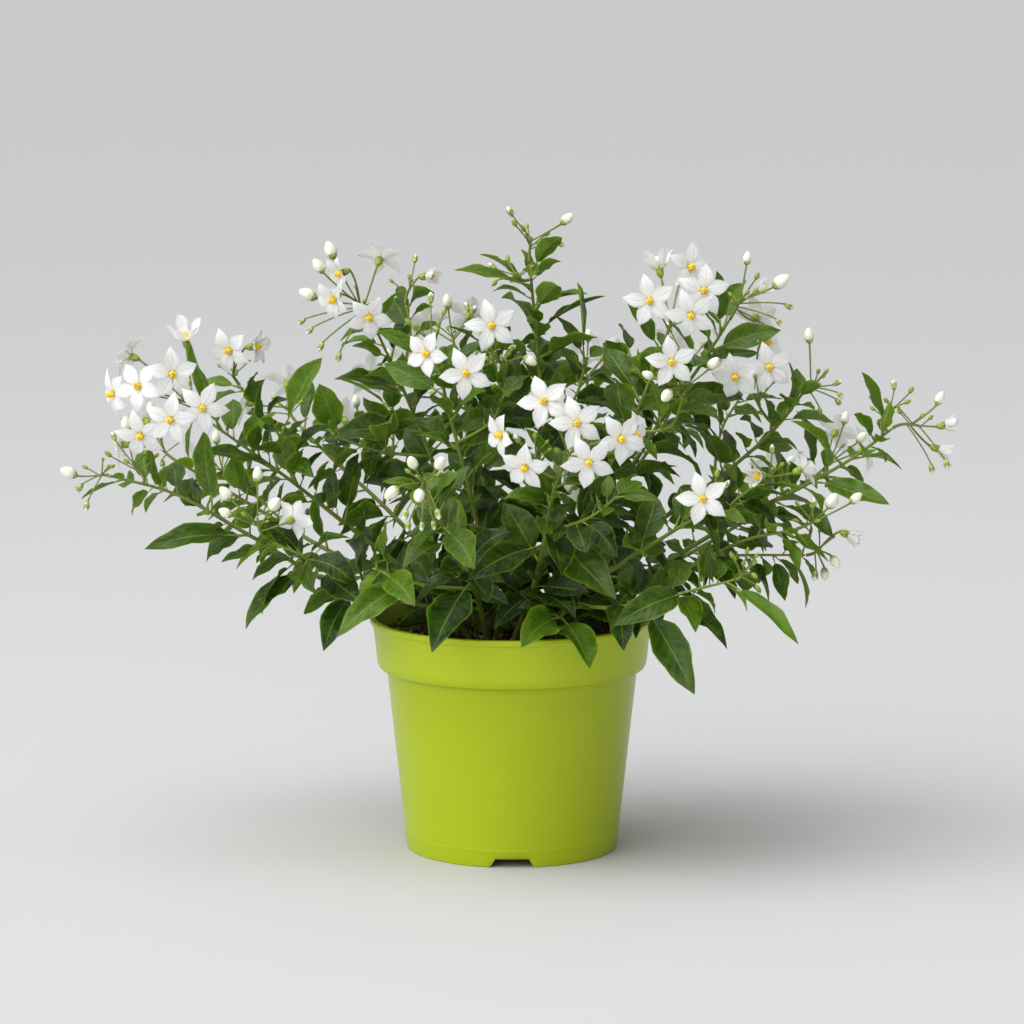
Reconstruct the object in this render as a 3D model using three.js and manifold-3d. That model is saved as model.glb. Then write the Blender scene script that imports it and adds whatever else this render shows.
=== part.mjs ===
// Potted potato vine: a bushy climber with star flowers, standing in a round nursery pot.
// Millimetres, +Z up. The origin is the middle of the pot's foot, and -Y is the front.
// A leafy stem is one mesh, with its side branches and leaves fused to it. A flower spray is another.
import * as THREE from 'three';
import { mergeVertices } from 'three/addons/utils/BufferGeometryUtils.js';
import Module from 'manifold-3d';

const wasm = await Module();
wasm.setup();

// Driving dimensions of the pot and the soil
const RIM_RADIUS = 65;
const POT_HEIGHT = 107;
const COLLAR_BOTTOM = 81.5;
const FOOT_RADIUS = 48.3;
const BODY_TOP_RADIUS = 57.3;
const WALL = 1.5;
const FLOOR_UNDERSIDE = 4.6;
const POT_SIDES = 24;
const NOTCHES = 3;
const NOTCH_WIDTH = 18;
const NOTCH_TOP_WIDTH = 15;
const DRAIN_HOLES = 6;
const DRAIN_RADIUS = 4;
const DRAIN_CIRCLE = 30;
const SOIL_LEVEL = 97;
const STEM_DEPTH = 22;
const STEM_RISE = 3;
const HOLE_SPARE = 0.45;
const SEAT_GAP = 0.3;

// Driving dimensions of the plant
const LEAF_THICK = 1.3;
const LEAF_SPARE = 0.35;
const PETIOLE_RADIUS = 0.8;
const ROOT_SHARE = 0.5;
const PETIOLE_SHARE = 0.2;
const WIDEST_SHARE = 0.49;
const OUTER_SHARE = 0.77;
const OUTER_WIDTH = 0.66;
const EDGE_RISE = 0.24;
const EDGE_WAVE = 0.2;
const LAST_LEAF = 0.96;
const FLOWER_RADIUS = 12.6;
const PETAL_SHOULDER = 0.5;
const PETAL_SPREAD = 0.47;
const ANTHER_LENGTH = 4.6;
const ANTHER_RADIUS = 1.7;
const CALYX_LENGTH = 3.6;
const CALYX_RADIUS = 1.9;
const BUD_WIDTH = 0.36;
const STALK_RADIUS = 0.55;
const STALK_ROOT_RADIUS = 0.35;
const MAIN_STALK_RADIUS = 0.8;
const TURN = 2.39996;
const CROSSING = 0.02;
const UP = new THREE.Vector3(0, 0, 1);

// Each shoot: its foot in the soil, its route from there to its tip, its radius low down and at the tip,
// its leaves as [first place along the stem, how many, length of the lowest], its side branches,
// and its leaves whose tip is known, as [place, x, y, z, half width].
// A place is a share of the stem's route, or 1 to 2 on the first side branch, and 2 to 3 on the second.
const SHOOTS = {
  left_low: {
    foot: [-20, -8],
    route: [[-34, -13, 112], [-76, -22, 123], [-118, -30, 149], [-150, -34, 168], [-180, -36, 177]],
    radius: [1.7, 0.8], leaves: [0.24, 7, 38],
    sides: [{ at: 0.5, route: [[-92, -44, 141], [-108, -52, 150]], leaves: [0.4, 2, 32] }],
    tips: [[0.6, -163, -50, 147, 6], [0.49, -120, -46, 110, 5.5], [0.38, -84, -50, 101, 6],
      [0.46, -67, -54, 123, 6.7], [0.7, -138, -36, 197, 5.5], [0.85, -162, -42, 190, 3.5],
      [0.56, -130, -44, 139, 4]],
  },
  left_high: {
    foot: [-22, 2], route: [[-36, -2, 118], [-78, -10, 153], [-102, -14, 173], [-136, -20, 199]],
    radius: [1.7, 0.8], leaves: [0.25, 7, 40],
    sides: [
      { at: 0.7, route: [[-102, -20, 184], [-106, -26, 198]], leaves: [0.4, 2, 32] },
      { at: 0.78, route: [[-112, 2, 196], [-124, 8, 212]], leaves: [0.4, 2, 32] },
    ],
    tips: [[0.77, -137, -34, 189, 6], [1.8, -85, -34, 230, 6.5], [0.97, -146, -26, 235, 5.5]],
  },
  upper_left: {
    foot: [-14, 9], route: [[-24, 5, 138], [-37, 2, 180], [-48, 0, 208], [-63, -6, 243]],
    radius: [1.8, 0.8], leaves: [0.15, 10, 42],
    sides: [
      { at: 0.5, route: [[-62, -4, 184], [-82, -8, 192]], leaves: [0.4, 3, 36] },
      { at: 0.8, route: [[-46, -2, 236], [-48, 0, 250]], leaves: [0.4, 2, 26] },
    ],
    tips: [[1.9, -87, -12, 215, 6.8], [0.77, -80, -8, 218, 5], [0.88, -72, -10, 233, 4.5]],
  },
  crown_left: {
    foot: [-7, -3], route: [[-12, -20, 136], [-20, -34, 174], [-29, -40, 210], [-33, -42, 231]],
    radius: [1.7, 0.8], leaves: [0.15, 10, 42],
    sides: [{ at: 0.62, route: [[-8, -44, 204], [-4, -46, 220]], leaves: [0.4, 3, 34] }],
    tips: [],
  },
  top: {
    foot: [4, 5], route: [[8, 10, 133], [12, 14, 176], [13, 14, 213], [10, 10, 246], [8, 8, 268]],
    radius: [1.8, 0.8], leaves: [0.15, 11, 42],
    sides: [
      { at: 0.5, route: [[28, 4, 206], [34, 0, 226]], leaves: [0.4, 3, 36] },
      { at: 0.55, route: [[-4, 22, 208], [-10, 26, 228]], leaves: [0.4, 3, 34] },
    ],
    tips: [[0.9, -26, 6, 266, 4], [0.82, 34, 4, 256, 5], [0.74, 42, -8, 255, 5.5], [1.9, 30, -14, 262, 5],
      [0.66, 40, -14, 237, 6]],
  },
  upper_right: {
    foot: [16, 7], route: [[28, 4, 130], [51, 0, 170], [71, -6, 203], [85, -8, 223], [98, -10, 244]],
    radius: [1.8, 0.8], leaves: [0.15, 11, 42],
    sides: [{ at: 0.55, route: [[52, 8, 206], [54, 12, 226]], leaves: [0.4, 3, 36] }],
    tips: [[0.94, 92, -16, 267, 4.5], [0.86, 121, -14, 240, 5.5]],
  },
  right_cluster: {
    foot: [9, -9], route: [[22, -16, 134], [40, -30, 173], [57, -36, 209], [68, -38, 238]],
    radius: [1.7, 0.8], leaves: [0.15, 9, 42],
    sides: [{ at: 0.66, route: [[70, -44, 200], [76, -48, 214]], leaves: [0.4, 2, 32] }],
    tips: [],
  },
  right_mid: {
    foot: [22, 14], route: [[36, 8, 125], [68, 2, 151], [99, -2, 175], [120, -6, 195], [131, -8, 210]],
    radius: [1.7, 0.8], leaves: [0.2, 9, 40],
    sides: [{ at: 0.55, route: [[96, 18, 190], [106, 26, 206]], leaves: [0.4, 3, 34] }],
    tips: [[0.96, 125, -16, 226, 4.5]],
  },
  right_long: {
    foot: [24, -4],
    route: [[38, -12, 117], [70, -22, 136], [105, -28, 158], [130, -30, 171], [152, -32, 184],
      [170, -34, 198]],
    radius: [1.7, 0.8], leaves: [0.2, 7, 40],
    sides: [{ at: 0.5, route: [[98, -38, 164], [110, -40, 174]], leaves: [0.4, 2, 32] }],
    tips: [[0.98, 156, -38, 224, 4.5], [0.93, 153, -42, 206, 4], [0.8, 125, -44, 204, 5],
      [0.74, 155, -46, 201, 7.8], [0.7, 168, -48, 166, 6]],
  },
  right_low: {
    foot: [20, -16], route: [[42, -24, 117], [80, -36, 136], [104, -44, 149], [124, -48, 154]],
    radius: [1.6, 0.8], leaves: [0.25, 6, 36],
    sides: [{ at: 0.6, route: [[112, -30, 140], [132, -30, 140]], leaves: [0.4, 2, 28] }],
    tips: [[0.97, 141, -54, 141, 3.5], [0.94, 128, -58, 139, 3.5], [1.94, 151, -36, 133, 3]],
  },
  front: {
    foot: [1, -20], route: [[10, -40, 128], [15, -62, 155], [18, -74, 174], [22, -80, 187]],
    radius: [1.7, 0.9], leaves: [0.2, 6, 40],
    sides: [{ at: 0.5, route: [[34, -74, 164], [46, -78, 174]], leaves: [0.4, 3, 34] }],
    tips: [[0.44, -18, -92, 140, 6.5], [0.5, 45, -92, 132, 9]],
  },
  front_left: {
    foot: [-11, -22], route: [[-16, -42, 124], [-25, -68, 148], [-32, -86, 166], [-37, -92, 178]],
    radius: [1.7, 0.9], leaves: [0.2, 5, 36],
    sides: [{ at: 0.28, route: [[-40, -50, 130], [-62, -54, 138]], leaves: [0.4, 2, 34] }],
    tips: [[0.32, -35, -86, 108, 9], [0.42, -10, -92, 130, 6.5], [0.68, -17, -100, 146, 7],
      [1.9, -43, -84, 127, 6.6], [1.6, -77, -76, 113, 6.5]],
  },
  front_right: {
    foot: [12, -24], route: [[30, -40, 124], [50, -60, 142], [70, -72, 157], [86, -78, 168]],
    radius: [1.7, 0.9], leaves: [0.2, 5, 38],
    sides: [
      { at: 0.2, route: [[44, -58, 121], [72, -76, 130], [98, -84, 138]], leaves: [0.5, 4, 30] },
      { at: 0.12, route: [[22, -54, 116]], leaves: [0.9, 0, 30] },
    ],
    tips: [[1.5, 80, -90, 88, 7.5], [1.66, 95, -92, 110, 6], [1.95, 125, -100, 113, 4],
      [1.78, 45, -98, 121, 6.5], [2.9, 35, -88, 101, 7.9], [2.97, 5, -88, 111, 7.7]],
  },
  back_left: {
    foot: [-16, 18], route: [[-34, 32, 125], [-60, 52, 150], [-84, 64, 170], [-100, 67, 186]],
    radius: [1.7, 0.8], leaves: [0.2, 7, 42],
    sides: [{ at: 0.5, route: [[-56, 65, 174], [-56, 72, 194]], leaves: [0.4, 2, 38] }],
    tips: [],
  },
  back_left_low: {
    foot: [-25, 11], route: [[-44, 24, 112], [-88, 40, 132], [-128, 52, 154], [-156, 56, 170]],
    radius: [1.7, 0.8], leaves: [0.25, 7, 40],
    sides: [{ at: 0.6, route: [[-118, 67, 150], [-132, 76, 158]], leaves: [0.4, 2, 36] }],
    tips: [],
  },
  back: {
    foot: [-4, 22], route: [[-10, 44, 124], [-16, 71, 152], [-20, 89, 176], [-22, 100, 194]],
    radius: [1.7, 0.8], leaves: [0.2, 7, 42],
    sides: [
      { at: 0.5, route: [[-44, 79, 160], [-64, 87, 172]], leaves: [0.4, 2, 38] },
      { at: 0.4, route: [[8, 69, 134], [20, 86, 144]], leaves: [0.4, 2, 38] },
    ],
    tips: [],
  },
  back_right: {
    foot: [12, 21], route: [[26, 40, 126], [50, 64, 154], [70, 76, 182], [80, 82, 204]],
    radius: [1.7, 0.8], leaves: [0.2, 7, 42],
    sides: [{ at: 0.5, route: [[38, 74, 176], [36, 81, 198]], leaves: [0.4, 2, 38] }],
    tips: [],
  },
  back_right_low: {
    foot: [25, 23], route: [[46, 32, 112], [86, 46, 130], [118, 56, 148], [142, 60, 163]],
    radius: [1.7, 0.8], leaves: [0.25, 7, 40],
    sides: [{ at: 0.55, route: [[104, 67, 140], [116, 80, 148]], leaves: [0.4, 2, 36] }],
    tips: [],
  },
  back_top: {
    foot: [-2, 13], route: [[-6, 26, 134], [-14, 38, 168], [-22, 46, 200], [-26, 48, 222]],
    radius: [1.8, 0.8], leaves: [0.15, 8, 42],
    sides: [{ at: 0.6, route: [[4, 54, 192], [16, 61, 210]], leaves: [0.4, 2, 38] }],
    tips: [],
  },
};

// Each spray: where it leaves its shoot, its hub, its open flowers as [x, y, z, turn, rise, openness]
// and its buds as [x, y, z, length]. Turn 0 faces the front and 90 faces +X. Rise is up from level.
const SPRAYS = {
  left_cluster: { from: ['left_high', 1], hub: [-147, -27, 210],
    flowers: [[-147, -12, 235, -10, 72, 0.5], [-171, -14, 228, -110, 20, 0.7],
      [-178, -28, 213, -60, -10, 1],
      [-166, -42, 218, -20, 15, 1], [-151, -46, 224, 15, 5, 1], [-137, -54, 210, 5, 0, 1],
      [-151, -56, 205, -10, -5, 1], [-165, -46, 197, -12, -22, 1]], buds: [] },
  left_tall: { from: ['left_high', 2.99], hub: [-127, 0, 218],
    flowers: [[-127, -14, 231, -25, -8, 0.85], [-117, -10, 232, 65, 5, 0.6]], buds: [[-131, 10, 232, 8]] },
  left_tip: { from: ['left_low', 1], hub: [-186, -36, 177], flowers: [],
    buds: [[-198, -40, 179, 8.5], [-194, -34, 171, 6], [-190, -42, 164, 5.5]] },
  left_tip_up: { from: ['left_low', 0.9], hub: [-170, -40, 183], flowers: [],
    buds: [[-172, -42, 201, 7.5], [-178, -37, 195, 5], [-180, -44, 188, 4.5]] },
  left_inner: { from: ['left_low', 1.99], hub: [-113, -56, 161], flowers: [[-98, -56, 160, 150, 10, 0.7]],
    buds: [[-127, -56, 172, 8], [-127, -60, 164, 7], [-113, -52, 180, 7.5], [-105, -62, 168, 8.5]] },
  upper_left_spray: { from: ['upper_left', 1], hub: [-70, -9, 252],
    flowers: [[-60, 4, 270, 160, 40, 0.9], [-76, -12, 266, -60, -15, 0.6], [-79, -26, 256, -40, -25, 0.7],
      [-64, -30, 248, 5, -15, 0.8]],
    buds: [[-82, -2, 275, 9], [-87, -14, 269, 8], [-92, -12, 256, 9], [-95, -6, 243, 5], [-91, -16, 240, 5],
      [-86, -18, 233, 5.5], [-78, -16, 228, 5.5]] },
  upper_left_side: { from: ['upper_left', 2.99], hub: [-46, 0, 258], flowers: [[-39, -2, 263, 60, 5, 0.55]],
    buds: [[-44, 10, 270, 5]] },
  crown_left_spray: { from: ['crown_left', 1], hub: [-36, -48, 240],
    flowers: [[-37, -68, 236, -25, 0, 0.8]],
    buds: [[-36, -44, 258, 6], [-46, -50, 248, 4.5], [-43, -56, 246, 4.5], [-30, -46, 252, 4.5]] },
  crown_right_spray: { from: ['crown_left', 1.99], hub: [-8, -52, 234],
    flowers: [[-9, -58, 247, 0, 5, 1], [-20, -74, 228, -5, 0, 1]],
    buds: [[8, -54, 231, 7], [0, -48, 236, 5], [-20, -44, 254, 5]] },
  top_spray: { from: ['top', 1], hub: [9, 8, 280], flowers: [],
    buds: [[-1, 4, 292, 6], [1, 0, 287, 4.5], [5, 8, 284, 4.5], [25, 10, 288, 7.5], [16, 14, 281, 4.5],
      [22, 6, 277, 5]] },
  top_side: { from: ['top', 0.93], hub: [0, 4, 264], flowers: [],
    buds: [[-2, 12, 270, 4.5], [-9, 6, 267, 5], [-8, -2, 260, 4.5]] },
  front_cluster: { from: ['front', 1], hub: [27, -86, 196],
    flowers: [[14, -94, 218, -8, 12, 1], [28, -104, 210, 3, 5, 1], [33, -110, 194, 2, -10, 1],
      [45, -99, 203, 18, 2, 0.95], [52, -92, 203, 62, -5, 0.85]], buds: [[20, -82, 208, 5]] },
  front_small: { from: ['front', 0.9], hub: [9, -86, 194],
    flowers: [[-4, -90, 203, -58, -5, 0.85], [6, -103, 191, -22, -22, 0.9]],
    buds: [[2, -94, 202, 6], [10, -92, 203, 4]] },
  front_left_buds: { from: ['front_left', 1], hub: [-38, -98, 184], flowers: [],
    buds: [[-43, -106, 193, 7.5], [-31, -108, 193, 8], [-52, -108, 180, 8.5], [-40, -116, 180, 8],
      [-46, -112, 171, 6], [-32, -110, 171, 6], [-45, -106, 165, 5.5], [-39, -112, 166, 5],
      [-34, -102, 165, 5]] },
  right_upper_cluster: { from: ['right_cluster', 1], hub: [71, -40, 248],
    flowers: [[66, -22, 268, -150, 65, 0.5], [79, -30, 270, 30, 10, 0.9], [61, -48, 257, -5, 0, 1],
      [85, -42, 261, 5, 5, 1], [79, -56, 252, -5, -18, 1]], buds: [] },
  right_cluster_side: { from: ['right_cluster', 1.99], hub: [78, -52, 221],
    flowers: [[70, -66, 232, 5, 0, 0.95]],
    buds: [[60, -58, 225, 6.5], [68, -66, 217, 8], [89, -56, 230, 7.5]] },
  upper_right_spray: { from: ['upper_right', 1], hub: [103, -10, 254],
    flowers: [[111, 10, 243, 150, 15, 0.9], [112, 4, 256, 60, 30, 0.5]],
    buds: [[106, -8, 272, 6.5], [121, -14, 262, 9.5], [110, -18, 265, 4.5], [125, -8, 250, 5.5],
      [120, -18, 244, 5], [116, -6, 239, 5]] },
  right_mid_spray: { from: ['right_mid', 0.8], hub: [109, -16, 212],
    flowers: [[115, -28, 225, 5, 0, 0.95], [100, -36, 222, -15, -15, 0.9], [114, -6, 232, 60, 35, 0.6]],
    buds: [] },
  right_mid_tip: { from: ['right_mid', 1], hub: [137, -10, 214], flowers: [],
    buds: [[134, -8, 237, 7.5], [147, -12, 216, 5.5], [148, -18, 211, 5], [148, -4, 206, 5],
      [139, -14, 203, 4.5]] },
  right_long_up: { from: ['right_long', 0.97], hub: [172, -32, 208], flowers: [],
    buds: [[171, -28, 217, 5.5], [178, -38, 216, 4.5], [167, -36, 211, 4]] },
  right_long_tip: { from: ['right_long', 1], hub: [183, -35, 199],
    flowers: [[193, -38, 200, 80, 10, 0.5], [191, -28, 188, 85, -20, 0.5]],
    buds: [[191, -36, 212, 7], [194, -42, 183, 6], [188, -34, 180, 5.5]] },
  right_low_tip: { from: ['right_low', 1], hub: [135, -50, 159], flowers: [],
    buds: [[142, -58, 169, 9], [153, -50, 169, 7], [134, -56, 168, 5]] },
  right_low_hang: { from: ['right_low', 1.99], hub: [139, -32, 144],
    flowers: [[150, -40, 151, 75, -20, 0.5]],
    buds: [[145, -38, 138, 7], [141, -28, 131, 6.5], [136, -38, 132, 6]] },
  right_inner: { from: ['right_long', 1.99], hub: [116, -44, 178],
    flowers: [[110, -56, 180, -40, 0, 0.5], [128, -46, 181, 110, 20, 0.6]], buds: [[116, -42, 190, 5]] },
  front_right_star: { from: ['front_right', 1], hub: [87, -84, 173], flowers: [[83, -98, 176, -8, 5, 1]],
    buds: [[94, -82, 180, 5], [90, -76, 184, 4.5]] },
  front_right_young: { from: ['front_right', 1.99], hub: [101, -86, 142], flowers: [],
    buds: [[106, -92, 141, 4.5], [101, -94, 147, 4], [96, -90, 150, 4.5], [108, -86, 134, 4.5]] },
  back_left_spray: { from: ['back_left', 1], hub: [-106, 70, 195],
    flowers: [[-124, 72, 196, -110, 15, 1], [-106, 81, 204, 175, 30, 1]],
    buds: [[-98, 69, 208, 7], [-120, 81, 188, 6]] },
  back_left_side: { from: ['back_left', 1.99], hub: [-56, 76, 203],
    flowers: [[-67, 84, 208, -150, 15, 1], [-50, 85, 214, 165, 35, 0.9]], buds: [[-58, 75, 218, 6.5]] },
  back_left_low_spray: { from: ['back_left_low', 1], hub: [-165, 58, 177],
    flowers: [[-182, 58, 178, -100, 5, 1], [-172, 67, 188, -145, 20, 0.9]],
    buds: [[-178, 46, 188, 7], [-164, 64, 168, 5], [-168, 50, 196, 7.5]] },
  back_left_far: { from: ['back_left_low', 1.99], hub: [-138, 81, 163],
    flowers: [[-150, 89, 166, -145, 10, 1]], buds: [[-134, 90, 158, 6], [-140, 82, 178, 7]] },
  back_spray: { from: ['back', 1], hub: [-23, 105, 204],
    flowers: [[-36, 111, 208, -155, 15, 1], [-12, 112, 212, 160, 20, 1]],
    buds: [[-14, 103, 222, 7], [-38, 105, 196, 6]] },
  back_side: { from: ['back', 1.99], hub: [-72, 91, 178],
    flowers: [[-80, 100, 184, -155, 15, 1]], buds: [[-74, 92, 194, 6.5]] },
  back_low: { from: ['back', 2.99], hub: [24, 91, 148],
    flowers: [[30, 100, 152, 165, 5, 1]], buds: [[16, 97, 140, 6], [26, 95, 164, 6.5]] },
  back_right_spray: { from: ['back_right', 1], hub: [84, 85, 214],
    flowers: [[98, 92, 218, 135, 15, 1], [76, 95, 220, 175, 20, 1]],
    buds: [[84, 85, 234, 7.5], [74, 86, 230, 6]] },
  back_right_side: { from: ['back_right', 1.99], hub: [35, 85, 208],
    flowers: [[28, 93, 212, -170, 10, 1], [44, 93, 216, 160, 20, 0.9]], buds: [[36, 86, 226, 6.5]] },
  back_right_low_spray: { from: ['back_right_low', 1], hub: [150, 61, 171],
    flowers: [[165, 64, 174, 110, 10, 1], [152, 70, 182, 155, 25, 1]],
    buds: [[163, 52, 182, 7], [156, 62, 190, 6.5]] },
  back_right_far: { from: ['back_right_low', 1.99], hub: [120, 85, 154],
    flowers: [[124, 95, 160, 155, 10, 1]], buds: [[132, 87, 166, 6.5], [122, 90, 144, 5]] },
  back_top_spray: { from: ['back_top', 1], hub: [-28, 50, 231],
    flowers: [[-40, 61, 234, -140, 20, 1], [-20, 64, 238, 170, 30, 1]],
    buds: [[-30, 50, 246, 7.5], [-18, 50, 242, 6]] },
};

// Tries for a leaf: turn round the stem, lift and share of its length.
// The first that is clear of its neighbours stands.
const TRIES = [[0, 0, 1], [0.5, 0.1, 1], [-0.5, -0.1, 1], [1, 0.25, 0.94], [-1, -0.2, 0.94],
  [1.6, 0.1, 0.88], [-1.6, 0.3, 0.88], [2.3, -0.1, 0.82], [-2.3, 0.35, 0.8], [3, 0, 0.74],
  [0.8, 0.6, 0.7], [-0.8, -0.5, 0.66]];
// Tries for a leaf with a known tip: shift of the tip towards the front and up, and share of its length
const TIP_TRIES = [[0, 0, 1], [3, 1, 1], [-3, -1, 1], [6, 2, 1], [-5, 3, 0.96], [4, -4, 0.96], [9, 4, 0.94],
  [-8, -4, 0.92], [7, -7, 0.9], [12, 0, 0.86], [-6, 8, 0.84], [2, 10, 0.8]];

// Tries for a flower: shift along the way it faces
const FLOWER_SHIFTS = [0, 2, -2, 4, -4, 6, -6, 8];

// A seeded draw of numbers from 0 to 1, the same on every run
function draws(seed) {
  let state = (seed * 2654435761) >>> 0;
  return () => {
    state = (state + 0x6d2b79f5) >>> 0;
    let mixed = Math.imul(state ^ (state >>> 15), state | 1);
    mixed = (mixed + Math.imul(mixed ^ (mixed >>> 7), mixed | 61)) ^ mixed;
    return ((mixed ^ (mixed >>> 14)) >>> 0) / 4294967296;
  };
}

const vector = ([x, y, z]) => new THREE.Vector3(x, y, z);

// A point moved along directions, each given as [direction, distance]
function add(point, ...moves) {
  return moves.reduce((sum, [direction, by]) => sum.addScaledVector(direction, by), point.clone());
}

// Solids from rings of points

function solidFrom(positions, faces) {
  const make = () => new wasm.Manifold(new wasm.Mesh({
    numProp: 3, vertProperties: new Float32Array(positions), triVerts: new Uint32Array(faces),
  }));
  const made = make();
  if (made.volume() >= 0) return made;
  for (let i = 0; i < faces.length; i += 3) [faces[i + 1], faces[i + 2]] = [faces[i + 2], faces[i + 1]];
  return make();
}

// Adds the triangles between two rings, whose counts may differ
function stitch(faces, a, countA, b, countB) {
  let [i, j] = [0, 0];
  while (i < countA || j < countB) {
    const [atA, atB] = [a + (i % countA), b + (j % countB)];
    if (j === countB || (i < countA && (i + 0.5) / countA <= (j + 0.5) / countB)) {
      i += 1;
      faces.push(atA, a + (i % countA), atB);
    } else {
      j += 1;
      faces.push(atA, b + (j % countB), atB);
    }
  }
}

// A closed solid through rings of points, with a point at its far end if one is given
function loft(rings, point) {
  const positions = rings.flat().flatMap((p) => p.toArray());
  const faces = [];
  for (let k = 1; k < rings[0].length - 1; k++) faces.push(0, k + 1, k);
  let start = 0;
  for (let r = 0; r + 1 < rings.length; r++) {
    const next = start + rings[r].length;
    stitch(faces, start, rings[r].length, next, rings[r + 1].length);
    start = next;
  }
  const count = rings[rings.length - 1].length;
  if (point) {
    positions.push(...point.toArray());
    for (let k = 0; k < count; k++) faces.push(start + k, start + ((k + 1) % count), start + count);
  } else {
    for (let k = 1; k < count - 1; k++) faces.push(start, start + k, start + k + 1);
  }
  return solidFrom(positions, faces);
}

// Two unit vectors square to a direction, the first as near as can be to a given one
function frameOf(direction, near = Math.abs(direction.z) > 0.9 ? new THREE.Vector3(1, 0, 0) : UP) {
  const first = add(near, [direction, -near.dot(direction)]).normalize();
  return [first, new THREE.Vector3().crossVectors(direction, first)];
}

function ring(centre, [first, second], radius, sides, start = 0) {
  return Array.from({ length: sides }, (_, k) => {
    const angle = start + (2 * Math.PI * k) / sides;
    return add(centre, [first, radius * Math.cos(angle)], [second, radius * Math.sin(angle)]);
  });
}

// Rings along a bending tube, given as [centre, direction, radius]. Each frame follows the one before it.
function tubeRings(stations, sides, near) {
  return stations.map(([centre, direction, radius]) => {
    const frame = frameOf(direction, near);
    near = frame[0];
    return ring(centre, frame, radius, sides);
  });
}

// A solid from a closed three.js geometry
function solidOf(geometry) {
  const bare = geometry.clone();
  bare.deleteAttribute('normal');
  bare.deleteAttribute('uv');
  const merged = mergeVertices(bare, 1e-4);
  return solidFrom(Array.from(merged.attributes.position.array), Array.from(merged.index.array));
}

function geometryOf(solid) {
  const mesh = solid.getMesh();
  const geometry = new THREE.BufferGeometry();
  geometry.setAttribute('position', new THREE.BufferAttribute(mesh.vertProperties.slice(), 3));
  geometry.setIndex(new THREE.BufferAttribute(mesh.triVerts.slice(), 1));
  geometry.computeVertexNormals();
  return geometry;
}

// Stems

const curveOf = (points) => new THREE.CatmullRomCurve3(points.map(vector), false, 'catmullrom', 0.5);

// The axes of a shoot: its main stem above the soil, then its side branches
function axesOf({ foot, route, radius, leaves, sides }) {
  const main = { curve: curveOf([[...foot, SOIL_LEVEL + STEM_RISE], ...route]), radius, leaves,
    sides: 5, steps: route.length };
  const branches = sides.map((side) => {
    const low = 0.75 * radiusAt(main, side.at);
    return { curve: curveOf([pointAt(main, side.at).toArray(), ...side.route]), radius: [low, 0.7],
      leaves: side.leaves, sides: 3, steps: 2 };
  });
  return [main, ...branches];
}

const radiusAt = ({ radius }, t) => radius[0] + (radius[1] - radius[0]) * t;

// A point on the stem's middle line, which runs straight from ring to ring
function pointAt({ curve, steps }, t) {
  const low = Math.min(steps - 1, Math.floor(t * steps));
  return curve.getPoint(low / steps).lerp(curve.getPoint((low + 1) / steps), t * steps - low);
}

// A tapered stem along its axis. The main one starts with a straight length down in the soil.
function stemSolid(axis, foot) {
  const stations = Array.from({ length: axis.steps + 1 }, (_, i) => {
    const t = i / axis.steps;
    return [axis.curve.getPoint(t), foot && i === 0 ? UP : axis.curve.getTangent(t), radiusAt(axis, t)];
  });
  if (foot) stations.unshift([vector([...foot, SOIL_LEVEL - STEM_DEPTH]), UP, axis.radius[0]]);
  return loft(tubeRings(stations, axis.sides));
}

// The axis and the share along it that a place stands for
function placeOn(axes, place) {
  const branch = place <= 1 ? 0 : Math.floor(place);
  return [axes[branch], place - branch];
}

// Leaves

// A leaf's side and face directions. It faces up and away from the middle of the pot.
function bladeFrame(base, chord, roll) {
  const outward = new THREE.Vector3(base.x, base.y, 0).normalize();
  const wanted = add(new THREE.Vector3(), [UP, 0.8], [outward, 0.6]);
  const side = new THREE.Vector3().crossVectors(wanted, chord).normalize();
  const face = new THREE.Vector3().crossVectors(chord, side).normalize();
  const [c, s] = [Math.cos(roll), Math.sin(roll)];
  return [add(new THREE.Vector3(), [side, c], [face, s]), add(new THREE.Vector3(), [face, c], [side, -s])];
}

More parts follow.
